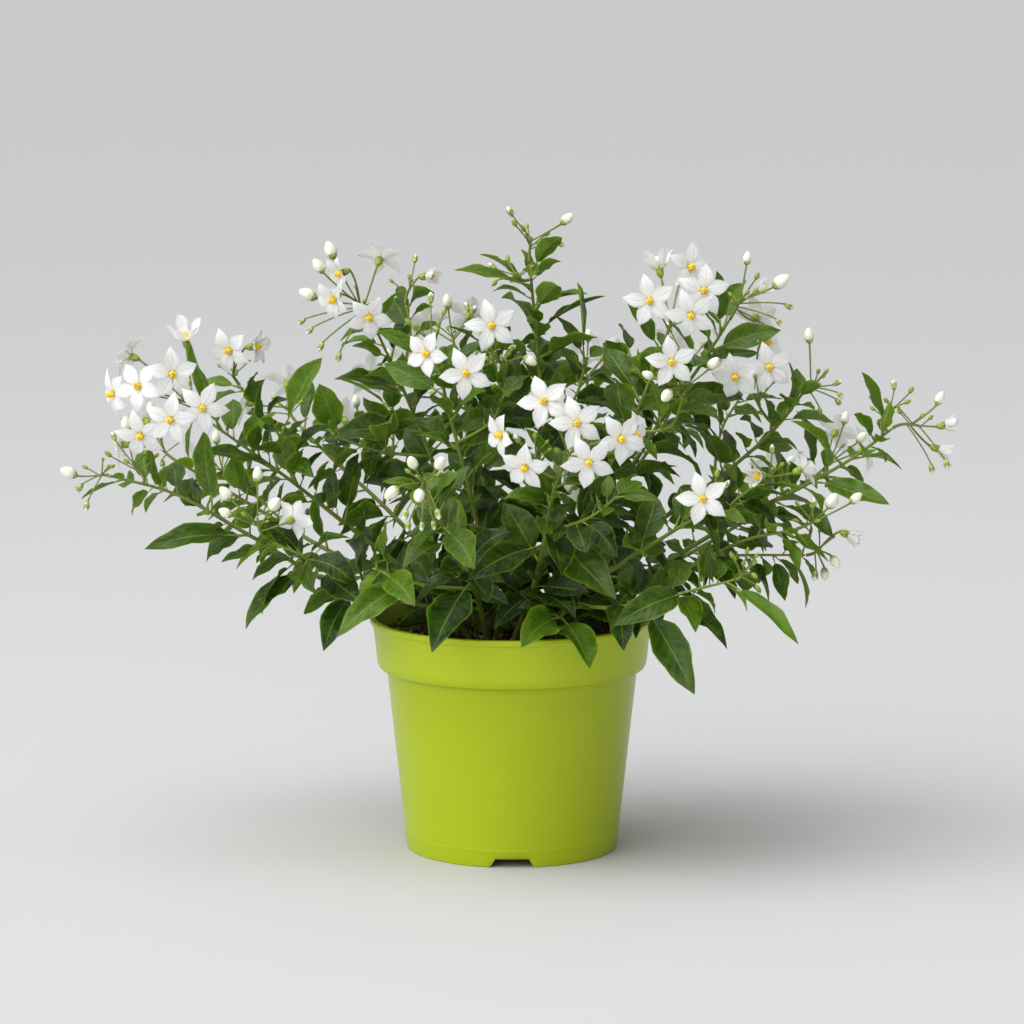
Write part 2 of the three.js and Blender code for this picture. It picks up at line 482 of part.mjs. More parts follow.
// A leaf: a thin petiole sunk in its stem, then a blade folded along its rib, with a waved edge.
// spare makes it that much larger all round. Without its petiole it starts at PETIOLE_SHARE.
function leafSolid({ base, chord, half, droop, roll, wave, sunk }, spare = 0, petiole = true) {
  const [side, face] = bladeFrame(base, chord, roll);
  const length = chord.length();
  const spine = (s) => add(base, [chord, s], [UP, droop * length * s * (1 - s)]);
  const edge = (s, share, sign, lift) => add(spine(s), [side, sign * (half * share + spare)],
    [face, half * (EDGE_RISE * share + EDGE_WAVE * lift)]);
  const neck = PETIOLE_RADIUS + spare;
  const thick = LEAF_THICK / 2 + spare;
  const points = [
    add(spine(PETIOLE_SHARE), [side, neck], [face, 0.4 * neck]),
    add(spine(PETIOLE_SHARE), [face, -neck]),
    add(spine(PETIOLE_SHARE), [side, -neck], [face, 0.4 * neck]),
    edge(WIDEST_SHARE, 1, 1, Math.sin(wave)),
    add(spine(WIDEST_SHARE), [face, -thick]),
    edge(WIDEST_SHARE, 1, -1, Math.cos(wave)),
    add(spine(WIDEST_SHARE), [face, thick]),
    edge(OUTER_SHARE, OUTER_WIDTH, 1, Math.sin(wave + 2)),
    edge(OUTER_SHARE, OUTER_WIDTH, -1, Math.cos(wave + 2)),
    spine(1 + spare / length),
  ];
  const [L0, D0, R0, L, D, R, T, L2, R2, tip, root] = Array.from({ length: 11 }, (_, k) => k);
  const faces = petiole ? [root, D0, L0, root, R0, D0, root, L0, R0] : [L0, R0, D0];
  if (petiole) points.push(spine(-sunk / length));
  faces.push(L0, D0, L, D0, D, L, D0, R0, R, D0, R, D, R0, L0, T, L0, L, T, R0, T, R);
  faces.push(L, L2, T, T, L2, tip, T, tip, R2, T, R2, R, L, D, L2, L2, D, tip, tip, D, R2, R2, D, R);
  return solidFrom(points.flatMap((p) => p.toArray()), faces);
}

// Leaf number i of an axis, at one of its tries
function ruleLeaf(axis, i, seed, attempt) {
  const [first, count, size] = axis.leaves;
  const next = draws(seed);
  const [a, b, c, d, e] = [next(), next(), next(), next(), next()];
  const [turn, lift, share] = TRIES[attempt];
  const t = first + ((LAST_LEAF - first) * i) / Math.max(1, count - 1);
  const tangent = axis.curve.getTangent(t);
  const [one, two] = frameOf(tangent);
  const angle = seed + i * TURN + (a - 0.5) * 0.9 + turn;
  const chord = add(tangent.clone().multiplyScalar(0.5 - 0.25 * b), [one, 0.95 * Math.cos(angle)],
    [two, 0.95 * Math.sin(angle)], [UP, 0.1 + 0.35 * t - 0.5 * c * (1 - t) + lift]).normalize();
  const length = size * (1 - 0.34 * t) * (0.86 + 0.28 * b) * share;
  return { base: pointAt(axis, t), chord: chord.multiplyScalar(length), half: length * (0.17 + 0.05 * c),
    droop: 0.1 + 0.22 * d, roll: (e - 0.5) * 1.1, wave: 2 * Math.PI * a,
    sunk: ROOT_SHARE * radiusAt(axis, t) };
}

// The leaf whose tip is known, at one of its tries
function tipLeaf(axes, [place, x, y, z, half], seed, attempt) {
  const [axis, t] = placeOn(axes, place);
  const next = draws(seed);
  const [a, b, c] = [next(), next(), next()];
  const [front, lift, share] = TIP_TRIES[attempt];
  const base = pointAt(axis, t);
  const chord = vector([x, y - front, z + lift]).sub(base).multiplyScalar(share);
  return { base, chord, half, droop: 0.1 + 0.14 * a, roll: (b - 0.5) * 0.7, wave: 2 * Math.PI * c,
    sunk: ROOT_SHARE * radiusAt(axis, t) };
}

// Sprays

function facing(turn, rise) {
  const [t, r] = [THREE.MathUtils.degToRad(turn), THREE.MathUtils.degToRad(rise)];
  return new THREE.Vector3(Math.sin(t) * Math.cos(r), -Math.cos(t) * Math.cos(r), Math.sin(r));
}

// A spray's main stalk, from just outside its stem to its hub
function stalkCurve({ from, hub }, axes) {
  const [axis, t] = placeOn(axes, from[1]);
  const atTip = t > 0.985;
  const end = pointAt(axis, atTip ? 1 : t);
  const tangent = axis.curve.getTangent(atTip ? 1 : t);
  const leave = atTip ? tangent : frameOf(tangent, vector(hub).sub(end).normalize())[0];
  const start = add(end, [leave, SEAT_GAP + (atTip ? 0 : radiusAt(axis, t))]);
  const bend = add(start, [leave, 0.45 * start.distanceTo(vector(hub))]);
  return { curve: new THREE.QuadraticBezierCurve3(start, bend, vector(hub)), leave };
}

// An open flower: calyx, five petals in a star, each widest near its middle, and the anthers' cone.
// With a root it has its own stalk from there. Its centre is moved by a shift along the way it faces.
function flowerSolid([x, y, z, turn, rise, open], seed, shift, root) {
  const forward = facing(turn, rise);
  const centre = add(new THREE.Vector3(x, y, z), [forward, shift]);
  const spin = 2 * Math.PI * draws(seed)();
  const [across, upward] = ring(new THREE.Vector3(), frameOf(forward), 1, 4, spin);
  const level = (out) => FLOWER_RADIUS * (0.85 * out * (1 - open) + 0.08 * Math.sin(Math.PI * out));
  const point = (angle, out) => {
    const reach = FLOWER_RADIUS * out * (0.35 + 0.65 * open);
    return add(centre, [across, reach * Math.cos(angle)], [upward, reach * Math.sin(angle)],
      [forward, level(out)]);
  };
  const outline = Array.from({ length: 5 }, (_, k) => (2 * Math.PI * (k + 0.5)) / 5).flatMap((angle) => [
    point(angle - PETAL_SPREAD, PETAL_SHOULDER), point(angle, 1),
    point(angle + PETAL_SPREAD, PETAL_SHOULDER)]);
  const neck = add(centre, [forward, -CALYX_LENGTH]);
  const stalk = root ? neck.clone().sub(root).normalize() : forward;
  const middle = level(CALYX_RADIUS / FLOWER_RADIUS);
  const stations = [[add(centre, [forward, middle - 0.8]), forward, CALYX_RADIUS],
    [neck, forward.clone().add(stalk).normalize(), STALK_RADIUS]];
  if (root) stations.push([root, stalk, STALK_ROOT_RADIUS]);
  const face = ring(add(centre, [forward, middle + 0.4]), [across, upward], ANTHER_RADIUS, 5);
  const rings = tubeRings(stations, 3, across).reverse();
  return loft([...rings, outline, face], add(centre, [forward, ANTHER_LENGTH]));
}

function budSolid(root, [x, y, z, length], hub) {
  const centre = new THREE.Vector3(x, y, z);
  const direction = centre.clone().sub(hub).normalize();
  direction.addScaledVector(UP, z > hub.z ? 0.3 : -0.4).normalize();
  const neck = add(centre, [direction, -length / 2]);
  const stalk = neck.clone().sub(root).normalize();
  const rings = tubeRings([[root, stalk, STALK_ROOT_RADIUS], [neck, direction, STALK_RADIUS]], 3);
  const frame = frameOf(direction, rings[1][0].clone().sub(neck).normalize());
  return loft([...rings, ring(centre, frame, BUD_WIDTH * length, 4)], add(centre, [direction, length / 2]));
}

// The flowers and buds leave the outer half of the main stalk, those nearest its start first.
// A flower takes the first of its shifts at which it is clear of those before it.
function spraySolid(spray, axes, index) {
  const { curve, leave } = stalkCurve(spray, axes);
  const hub = vector(spray.hub);
  const along = hub.clone().sub(curve.v0).normalize();
  const items = [
    ...spray.flowers.map((flower, k) => ({ flower, seed: 1000 + index * 20 + k })),
    ...spray.buds.map((bud) => ({ bud })),
  ];
  const reach = ({ flower, bud }) => vector(flower ?? bud).dot(along);
  items.sort((a, b) => reach(a) - reach(b));
  const placed = [];
  items.forEach(({ flower, bud, seed }, order) => {
    const root = curve.getPoint(0.5 + (0.48 * (order + 0.5)) / items.length);
    if (bud) {
      const whole = budSolid(root, bud, hub);
      placed.push({ whole, head: whole });
      return;
    }
    const tries = FLOWER_SHIFTS.map((shift) => ({
      whole: flowerSolid(flower, seed, shift, root), head: flowerSolid(flower, seed, shift),
    }));
    const isFree = ({ whole, head }) => placed.every((other) => head.intersect(other.whole).isEmpty()
      && whole.intersect(other.head).volume() < CROSSING);
    placed.push(tries.find(isFree) ?? tries[0]);
  });
  const stations = [0, 0.5, 1].map((t) => (
    [curve.getPoint(t), t ? curve.getTangent(t) : leave, MAIN_STALK_RADIUS]));
  return wasm.Manifold.union([loft(tubeRings(stations, 4)), ...placed.map(({ whole }) => whole)]);
}

// The pot and the soil

function potSolid() {
  const innerFoot = FOOT_RADIUS - WALL;
  const outside = [
    [0, FLOOR_UNDERSIDE], [41, FLOOR_UNDERSIDE], [42, 0], [FOOT_RADIUS, 0],
    [BODY_TOP_RADIUS, COLLAR_BOTTOM], [61.4, COLLAR_BOTTOM + 4], [63.7, POT_HEIGHT - 2.6],
    [RIM_RADIUS, POT_HEIGHT - 2], [RIM_RADIUS, POT_HEIGHT],
  ];
  const inside = [
    [RIM_RADIUS - 2.6, POT_HEIGHT], [60, COLLAR_BOTTOM + 4], [BODY_TOP_RADIUS - WALL, COLLAR_BOTTOM],
    [innerFoot, FLOOR_UNDERSIDE + WALL], [0, FLOOR_UNDERSIDE + WALL],
  ];
  const profile = [...outside, ...inside];
  const lathe = new THREE.LatheGeometry(profile.map(([r, z]) => new THREE.Vector2(r, z)), POT_SIDES);
  let pot = solidOf(lathe.rotateX(Math.PI / 2));
  for (let k = 0; k < NOTCHES; k++) {
    const notch = new THREE.Shape();
    notch.moveTo(-NOTCH_WIDTH / 2, -1);
    notch.lineTo(NOTCH_WIDTH / 2, -1);
    notch.lineTo(NOTCH_TOP_WIDTH / 2, FLOOR_UNDERSIDE - 0.05);
    notch.lineTo(-NOTCH_TOP_WIDTH / 2, FLOOR_UNDERSIDE - 0.05);
    const cutter = new THREE.ExtrudeGeometry(notch, { depth: 20, bevelEnabled: false });
    cutter.rotateX(Math.PI / 2).translate(0, -36, 0).rotateZ((k * 2 * Math.PI) / NOTCHES);
    pot = pot.subtract(solidOf(cutter));
  }
  for (let k = 0; k < DRAIN_HOLES; k++) {
    const hole = new THREE.CylinderGeometry(DRAIN_RADIUS, DRAIN_RADIUS, 6, 6);
    hole.rotateX(Math.PI / 2).translate(DRAIN_CIRCLE, 0, FLOOR_UNDERSIDE);
    pot = pot.subtract(solidOf(hole.rotateZ((k * 2 * Math.PI) / DRAIN_HOLES + 0.3)));
  }
  return pot;
}

// The soil fills the pot up to a bumpy top, with a plain hole for each stem
function soilSolid() {
  const next = draws(77);
  const profile = [
    [0, FLOOR_UNDERSIDE + WALL + SEAT_GAP], [FOOT_RADIUS - WALL - 0.4, FLOOR_UNDERSIDE + WALL + SEAT_GAP],
    [BODY_TOP_RADIUS - WALL - 0.5, COLLAR_BOTTOM - 0.3], [60.7, SOIL_LEVEL - 1],
    [40, SOIL_LEVEL], [0, SOIL_LEVEL + 1],
  ];
  const lathe = new THREE.LatheGeometry(profile.map(([r, z]) => new THREE.Vector2(r, z)), POT_SIDES);
  lathe.rotateX(Math.PI / 2);
  const position = lathe.attributes.position;
  for (let column = 0; column < POT_SIDES; column++) {
    const bump = (next() - 0.5) * 2;
    for (const copy of column === 0 ? [0, POT_SIDES] : [column]) {
      const point = copy * profile.length + 4;
      position.setZ(point, position.getZ(point) + bump);
    }
  }
  return Object.values(SHOOTS).reduce((soil, { foot, radius }) => {
    const wide = radius[0] + HOLE_SPARE;
    const hole = new THREE.CylinderGeometry(wide, wide, 2 * STEM_DEPTH, 5).rotateX(Math.PI / 2);
    hole.rotateZ(Math.PI / 2).translate(...foot, SOIL_LEVEL - SEAT_GAP);
    return soil.subtract(solidOf(hole));
  }, solidOf(lathe));
}

// Assembly

const MATERIALS = {
  pot: new THREE.MeshStandardMaterial({ color: 0xa9cc22, roughness: 0.45 }),
  soil: new THREE.MeshStandardMaterial({ color: 0x2c1d14, roughness: 0.95 }),
  leaf: new THREE.MeshStandardMaterial({ color: 0x3f6b2a, roughness: 0.5 }),
  flower: new THREE.MeshStandardMaterial({ color: 0xf6f6f2, roughness: 0.6 }),
};

const group = new THREE.Group();

function place(name, solid, material) {
  const mesh = new THREE.Mesh(geometryOf(solid), material);
  mesh.name = name;
  group.add(mesh);
}

// What leaves must stay clear of: its node, its solid and that solid's box
const standing = [];
function stand(owner, solid) {
  standing.push({ owner, solid, box: solid.boundingBox() });
  return solid;
}

const pot = stand('pot', potSolid());
const soil = stand('soil', soilSolid());
const shoots = Object.entries(SHOOTS).map(([name, shoot], number) => {
  const axes = axesOf(shoot);
  const solids = axes.map((axis, branch) => stand(name, stemSolid(axis, branch === 0 && shoot.foot)));
  return { name, number, axes, tips: shoot.tips, solids };
});
const sprays = Object.entries(SPRAYS).map(([name, spray], index) => {
  const { axes } = shoots.find((shoot) => shoot.name === spray.from[0]);
  return { name, solid: stand('spray_' + name, spraySolid(spray, axes, index)) };
});

const boxesMeet = (a, b) => [0, 1, 2].every((k) => a.min[k] < b.max[k] && b.min[k] < a.max[k]);

// Whether a leaf is clear: its blade of everything, and its petiole of the other nodes
function isClear(owner, leaf) {
  const blade = leafSolid(leaf, LEAF_SPARE, false);
  const whole = leafSolid(leaf, LEAF_SPARE);
  const box = whole.boundingBox();
  return standing.every((other) => !boxesMeet(box, other.box)
    || (other.owner === owner ? blade : whole).intersect(other.solid).isEmpty());
}

// The first of a leaf's tries that is clear, if any
function addLeaf({ name, solids }, tries, make) {
  const leaf = tries.map((_, attempt) => make(attempt)).find((tried) => isClear(name, tried));
  if (leaf) solids.push(stand(name, leafSolid(leaf)));
}

for (const shoot of shoots) {
  shoot.tips.forEach((tip, k) => {
    addLeaf(shoot, TIP_TRIES, (attempt) => tipLeaf(shoot.axes, tip, 5000 + shoot.number * 40 + k, attempt));
  });
}
for (const shoot of shoots) {
  shoot.axes.forEach((axis, branch) => {
    for (let i = 0; i < axis.leaves[1]; i++) {
      const seed = 1 + shoot.number * 200 + branch * 50 + i;
      addLeaf(shoot, TRIES, (attempt) => ruleLeaf(axis, i, seed, attempt));
    }
  });
}

place('pot', pot, MATERIALS.pot);
place('soil', soil, MATERIALS.soil);
for (const { name, solids } of shoots) place('stem_' + name, wasm.Manifold.union(solids), MATERIALS.leaf);
for (const { name, solid } of sprays) place('spray_' + name, solid, MATERIALS.flower);

export default group;
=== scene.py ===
"""Potted potato vine: how each piece looks, grown on the solids of the CAD frame."""

import math
from functools import partial

import bmesh
import bpy
from mathutils import Euler, Matrix, Vector, kdtree, noise
from mathutils.bvhtree import BVHTree


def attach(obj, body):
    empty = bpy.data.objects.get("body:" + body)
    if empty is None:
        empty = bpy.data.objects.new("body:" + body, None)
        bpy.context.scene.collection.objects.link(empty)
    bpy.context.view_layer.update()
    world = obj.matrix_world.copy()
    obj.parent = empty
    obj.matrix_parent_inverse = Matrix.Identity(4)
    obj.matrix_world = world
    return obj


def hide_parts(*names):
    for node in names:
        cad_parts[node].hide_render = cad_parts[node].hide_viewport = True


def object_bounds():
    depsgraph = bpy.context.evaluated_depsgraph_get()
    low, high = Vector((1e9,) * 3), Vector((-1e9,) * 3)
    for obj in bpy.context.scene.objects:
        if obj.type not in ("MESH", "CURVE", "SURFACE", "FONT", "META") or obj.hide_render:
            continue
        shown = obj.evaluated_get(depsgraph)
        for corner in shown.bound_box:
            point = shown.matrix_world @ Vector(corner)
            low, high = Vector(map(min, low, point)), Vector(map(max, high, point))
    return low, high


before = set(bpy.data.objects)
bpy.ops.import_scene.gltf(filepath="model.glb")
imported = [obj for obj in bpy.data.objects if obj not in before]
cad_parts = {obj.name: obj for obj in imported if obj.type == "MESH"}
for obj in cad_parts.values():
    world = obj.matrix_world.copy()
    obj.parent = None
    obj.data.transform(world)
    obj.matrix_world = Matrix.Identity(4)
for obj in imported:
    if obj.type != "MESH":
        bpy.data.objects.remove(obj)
CAD_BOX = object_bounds()

bl_info = {
    "name": "Potted Potato Vine",
    "version": (1, 0, 0),
    "blender": (4, 5, 0),
    "location": "View3D > Sidebar > Vine",
    "description": "Builds a flowering potato vine in a round nursery pot",
    "category": "Add Mesh",
}

MM = 0.001
UP = Vector((0.0, 0.0, 1.0))
GOLDEN_TURN = 2.39996
UV_MAP = "OFBake"

# Sizes in mm, shares and angles, the same as those of the CAD solids
SOIL_LEVEL = 97.0
STEM_RISE = 3.0
SEAT_GAP = 0.3
FLOOR_UNDERSIDE = 4.6
NOTCH_AZIMUTHS = (-90.0, 30.0, 150.0)
DRAIN_HOLES = 6
DRAIN_RADIUS = 4.0
DRAIN_CIRCLE = 30.0
DRAIN_TURN = 0.3
SIDE_STEPS = 2
SIDE_FOOT_SHARE = 0.75
SIDE_TIP_RADIUS = 0.7
PETIOLE_SHARE = 0.2
WIDEST_SHARE = 0.49
OUTER_SHARE = 0.77
EDGE_RISE = 0.24
EDGE_WAVE = 0.2
LAST_LEAF = 0.96
TIP_PLACE = 0.985
STALK_BEND = 0.45
ANTHER_LENGTH = 4.6
CALYX_LENGTH = 3.6
STALK_RADIUS = 0.55
PETALS = 5

# Where the chains of random numbers start. The first five are those of the CAD solids.
LEAF_SEED = 1
SHOOT_SEED_STEP = 200
BRANCH_SEED_STEP = 50
TIP_SEED = 5000
TIP_SEED_STEP = 40
SMALL_LEAF_SEED = 9000
FLOWER_SEED = 1000
SPRAY_SEED_STEP = 20
YOUNG_BUD_SEED = 7000
CRUMB_SEED = 31

# How a leaf is turned, lifted and shortened until it is clear of its neighbours
TRIES = [
    (0, 0, 1), (0.5, 0.1, 1), (-0.5, -0.1, 1), (1, 0.25, 0.94), (-1, -0.2, 0.94), (1.6, 0.1, 0.88),
    (-1.6, 0.3, 0.88), (2.3, -0.1, 0.82), (-2.3, 0.35, 0.8), (3, 0, 0.74), (0.8, 0.6, 0.7),
    (-0.8, -0.5, 0.66),
]
TIP_TRIES = [
    (0, 0, 1), (3, 1, 1), (-3, -1, 1), (6, 2, 1), (-5, 3, 0.96), (4, -4, 0.96), (9, 4, 0.94),
    (-8, -4, 0.92), (7, -7, 0.9), (12, 0, 0.86), (-6, 8, 0.84), (2, 10, 0.8),
]
FLOWER_SHIFTS = (0, 2, -2, 4, -4, 6, -6, 8)

# The shoots, in mm. Each has its foot in the soil, the route and end radii of its main stem, its
# leaves as [first share, count, length], its side branches, and the leaves whose tips are known as
# [place, x, y, z, half width]. A place is the share along the main stem, or the number of a side
# branch plus the share along it.
SHOOTS = {
    "left_low": {
        "foot": [-20, -8],
        "route": [[-34, -13, 112], [-76, -22, 123], [-118, -30, 149], [-150, -34, 168],
            [-180, -36, 177]],
        "radius": [1.7, 0.8],
        "leaves": [0.24, 7, 38],
        "sides": [{"at": 0.5, "route": [[-92, -44, 141], [-108, -52, 150]], "leaves": [0.4, 2, 32]}],
        "tips": [[0.6, -163, -50, 147, 6], [0.49, -120, -46, 110, 5.5], [0.38, -84, -50, 101, 6],
            [0.46, -67, -54, 123, 6.7], [0.7, -138, -36, 197, 5.5], [0.85, -162, -42, 190, 3.5],
            [0.56, -130, -44, 139, 4]],
    },
    "left_high": {
        "foot": [-22, 2],
        "route": [[-36, -2, 118], [-78, -10, 153], [-102, -14, 173], [-136, -20, 199]],
        "radius": [1.7, 0.8],
        "leaves": [0.25, 7, 40],
        "sides": [{"at": 0.7, "route": [[-102, -20, 184], [-106, -26, 198]], "leaves": [0.4, 2, 32]},
            {"at": 0.78, "route": [[-112, 2, 196], [-124, 8, 212]], "leaves": [0.4, 2, 32]}],
        "tips": [[0.77, -137, -34, 189, 6], [1.8, -85, -34, 230, 6.5],
            [0.97, -146, -26, 235, 5.5]],
    },
    "upper_left": {
        "foot": [-14, 9],
        "route": [[-24, 5, 138], [-37, 2, 180], [-48, 0, 208], [-63, -6, 243]],
        "radius": [1.8, 0.8],
        "leaves": [0.15, 10, 42],
        "sides": [{"at": 0.5, "route": [[-62, -4, 184], [-82, -8, 192]], "leaves": [0.4, 3, 36]},
            {"at": 0.8, "route": [[-46, -2, 236], [-48, 0, 250]], "leaves": [0.4, 2, 26]}],
        "tips": [[1.9, -87, -12, 215, 6.8], [0.77, -80, -8, 218, 5], [0.88, -72, -10, 233, 4.5]],
    },
    "crown_left": {
        "foot": [-7, -3],
        "route": [[-12, -20, 136], [-20, -34, 174], [-29, -40, 210], [-33, -42, 231]],
        "radius": [1.7, 0.8],
        "leaves": [0.15, 10, 42],
        "sides": [{"at": 0.62, "route": [[-8, -44, 204], [-4, -46, 220]], "leaves": [0.4, 3, 34]}],
        "tips": [],
    },
    "top": {
        "foot": [4, 5],
        "route": [[8, 10, 133], [12, 14, 176], [13, 14, 213], [10, 10, 246], [8, 8, 268]],
        "radius": [1.8, 0.8],
        "leaves": [0.15, 11, 42],
        "sides": [{"at": 0.5, "route": [[28, 4, 206], [34, 0, 226]], "leaves": [0.4, 3, 36]},
            {"at": 0.55, "route": [[-4, 22, 208], [-10, 26, 228]], "leaves": [0.4, 3, 34]}],
        "tips": [[0.9, -26, 6, 266, 4], [0.82, 34, 4, 256, 5], [0.74, 42, -8, 255, 5.5],
            [1.9, 30, -14, 262, 5], [0.66, 40, -14, 237, 6]],
    },
    "upper_right": {
        "foot": [16, 7],
        "route": [[28, 4, 130], [51, 0, 170], [71, -6, 203], [85, -8, 223], [98, -10, 244]],
        "radius": [1.8, 0.8],
        "leaves": [0.15, 11, 42],
        "sides": [{"at": 0.55, "route": [[52, 8, 206], [54, 12, 226]], "leaves": [0.4, 3, 36]}],
        "tips": [[0.94, 92, -16, 267, 4.5], [0.86, 121, -14, 240, 5.5]],
    },
    "right_cluster": {
        "foot": [9, -9],
        "route": [[22, -16, 134], [40, -30, 173], [57, -36, 209], [68, -38, 238]],
        "radius": [1.7, 0.8],
        "leaves": [0.15, 9, 42],
        "sides": [{"at": 0.66, "route": [[70, -44, 200], [76, -48, 214]], "leaves": [0.4, 2, 32]}],
        "tips": [],
    },
    "right_mid": {
        "foot": [22, 14],
        "route": [[36, 8, 125], [68, 2, 151], [99, -2, 175], [120, -6, 195], [131, -8, 210]],
        "radius": [1.7, 0.8],
        "leaves": [0.2, 9, 40],
        "sides": [{"at": 0.55, "route": [[96, 18, 190], [106, 26, 206]], "leaves": [0.4, 3, 34]}],
        "tips": [[0.96, 125, -16, 226, 4.5]],
    },
    "right_long": {
        "foot": [24, -4],
        "route": [[38, -12, 117], [70, -22, 136], [105, -28, 158], [130, -30, 171],
            [152, -32, 184], [170, -34, 198]],
        "radius": [1.7, 0.8],
        "leaves": [0.2, 7, 40],
        "sides": [{"at": 0.5, "route": [[98, -38, 164], [110, -40, 174]], "leaves": [0.4, 2, 32]}],
        "tips": [[0.98, 156, -38, 224, 4.5], [0.93, 153, -42, 206, 4], [0.8, 125, -44, 204, 5],
            [0.74, 155, -46, 201, 7.8], [0.7, 168, -48, 166, 6]],
    },
    "right_low": {
        "foot": [20, -16],
        "route": [[42, -24, 117], [80, -36, 136], [104, -44, 149], [124, -48, 154]],
        "radius": [1.6, 0.8],
        "leaves": [0.25, 6, 36],
        "sides": [{"at": 0.6, "route": [[112, -30, 140], [132, -30, 140]], "leaves": [0.4, 2, 28]}],
        "tips": [[0.97, 141, -54, 141, 3.5], [0.94, 128, -58, 139, 3.5], [1.94, 151, -36, 133, 3]],
    },
    "front": {
        "foot": [1, -20],
        "route": [[10, -40, 128], [15, -62, 155], [18, -74, 174], [22, -80, 187]],
        "radius": [1.7, 0.9],
        "leaves": [0.2, 6, 40],
        "sides": [{"at": 0.5, "route": [[34, -74, 164], [46, -78, 174]], "leaves": [0.4, 3, 34]}],
        "tips": [[0.44, -18, -92, 140, 6.5], [0.5, 45, -92, 132, 9]],
    },
    "front_left": {
        "foot": [-11, -22],
        "route": [[-16, -42, 124], [-25, -68, 148], [-32, -86, 166], [-37, -92, 178]],
        "radius": [1.7, 0.9],
        "leaves": [0.2, 5, 36],
        "sides": [{"at": 0.28, "route": [[-40, -50, 130], [-62, -54, 138]], "leaves": [0.4, 2, 34]}],
        "tips": [[0.32, -35, -86, 108, 9], [0.42, -10, -92, 130, 6.5], [0.68, -17, -100, 146, 7],
            [1.9, -43, -84, 127, 6.6], [1.6, -77, -76, 113, 6.5]],
    },
    "front_right": {
        "foot": [12, -24],
        "route": [[30, -40, 124], [50, -60, 142], [70, -72, 157], [86, -78, 168]],
        "radius": [1.7, 0.9],
        "leaves": [0.2, 5, 38],
        "sides": [
            {"at": 0.2, "route": [[44, -58, 121], [72, -76, 130], [98, -84, 138]],
                "leaves": [0.5, 4, 30]},
            {"at": 0.12, "route": [[22, -54, 116]], "leaves": [0.9, 0, 30]}],
        "tips": [[1.5, 80, -90, 88, 7.5], [1.66, 95, -92, 110, 6], [1.95, 125, -100, 113, 4],
            [1.78, 45, -98, 121, 6.5], [2.9, 35, -88, 101, 7.9], [2.97, 5, -88, 111, 7.7]],
    },
    "back_left": {
        "foot": [-16, 18],
        "route": [[-34, 32, 125], [-60, 52, 150], [-84, 64, 170], [-100, 67, 186]],
        "radius": [1.7, 0.8],
        "leaves": [0.2, 7, 42],
        "sides": [{"at": 0.5, "route": [[-56, 65, 174], [-56, 72, 194]], "leaves": [0.4, 2, 38]}],
        "tips": [],
    },
    "back_left_low": {
        "foot": [-25, 11],
        "route": [[-44, 24, 112], [-88, 40, 132], [-128, 52, 154], [-156, 56, 170]],
        "radius": [1.7, 0.8],
        "leaves": [0.25, 7, 40],
        "sides": [{"at": 0.6, "route": [[-118, 67, 150], [-132, 76, 158]], "leaves": [0.4, 2, 36]}],
        "tips": [],
    },
    "back": {
        "foot": [-4, 22],
        "route": [[-10, 44, 124], [-16, 71, 152], [-20, 89, 176], [-22, 100, 194]],
        "radius": [1.7, 0.8],
        "leaves": [0.2, 7, 42],
        "sides": [{"at": 0.5, "route": [[-44, 79, 160], [-64, 87, 172]], "leaves": [0.4, 2, 38]},
            {"at": 0.4, "route": [[8, 69, 134], [20, 86, 144]], "leaves": [0.4, 2, 38]}],
        "tips": [],
    },
    "back_right": {
        "foot": [12, 21],
        "route": [[26, 40, 126], [50, 64, 154], [70, 76, 182], [80, 82, 204]],
        "radius": [1.7, 0.8],
        "leaves": [0.2, 7, 42],
        "sides": [{"at": 0.5, "route": [[38, 74, 176], [36, 81, 198]], "leaves": [0.4, 2, 38]}],
        "tips": [],
    },
    "back_right_low": {
        "foot": [25, 23],
        "route": [[46, 32, 112], [86, 46, 130], [118, 56, 148], [142, 60, 163]],
        "radius": [1.7, 0.8],
        "leaves": [0.25, 7, 40],
        "sides": [{"at": 0.55, "route": [[104, 67, 140], [116, 80, 148]], "leaves": [0.4, 2, 36]}],
        "tips": [],
    },
    "back_top": {
        "foot": [-2, 13],
        "route": [[-6, 26, 134], [-14, 38, 168], [-22, 46, 200], [-26, 48, 222]],
        "radius": [1.8, 0.8],
        "leaves": [0.15, 8, 42],
        "sides": [{"at": 0.6, "route": [[4, 54, 192], [16, 61, 210]], "leaves": [0.4, 2, 38]}],
        "tips": [],
    },
}

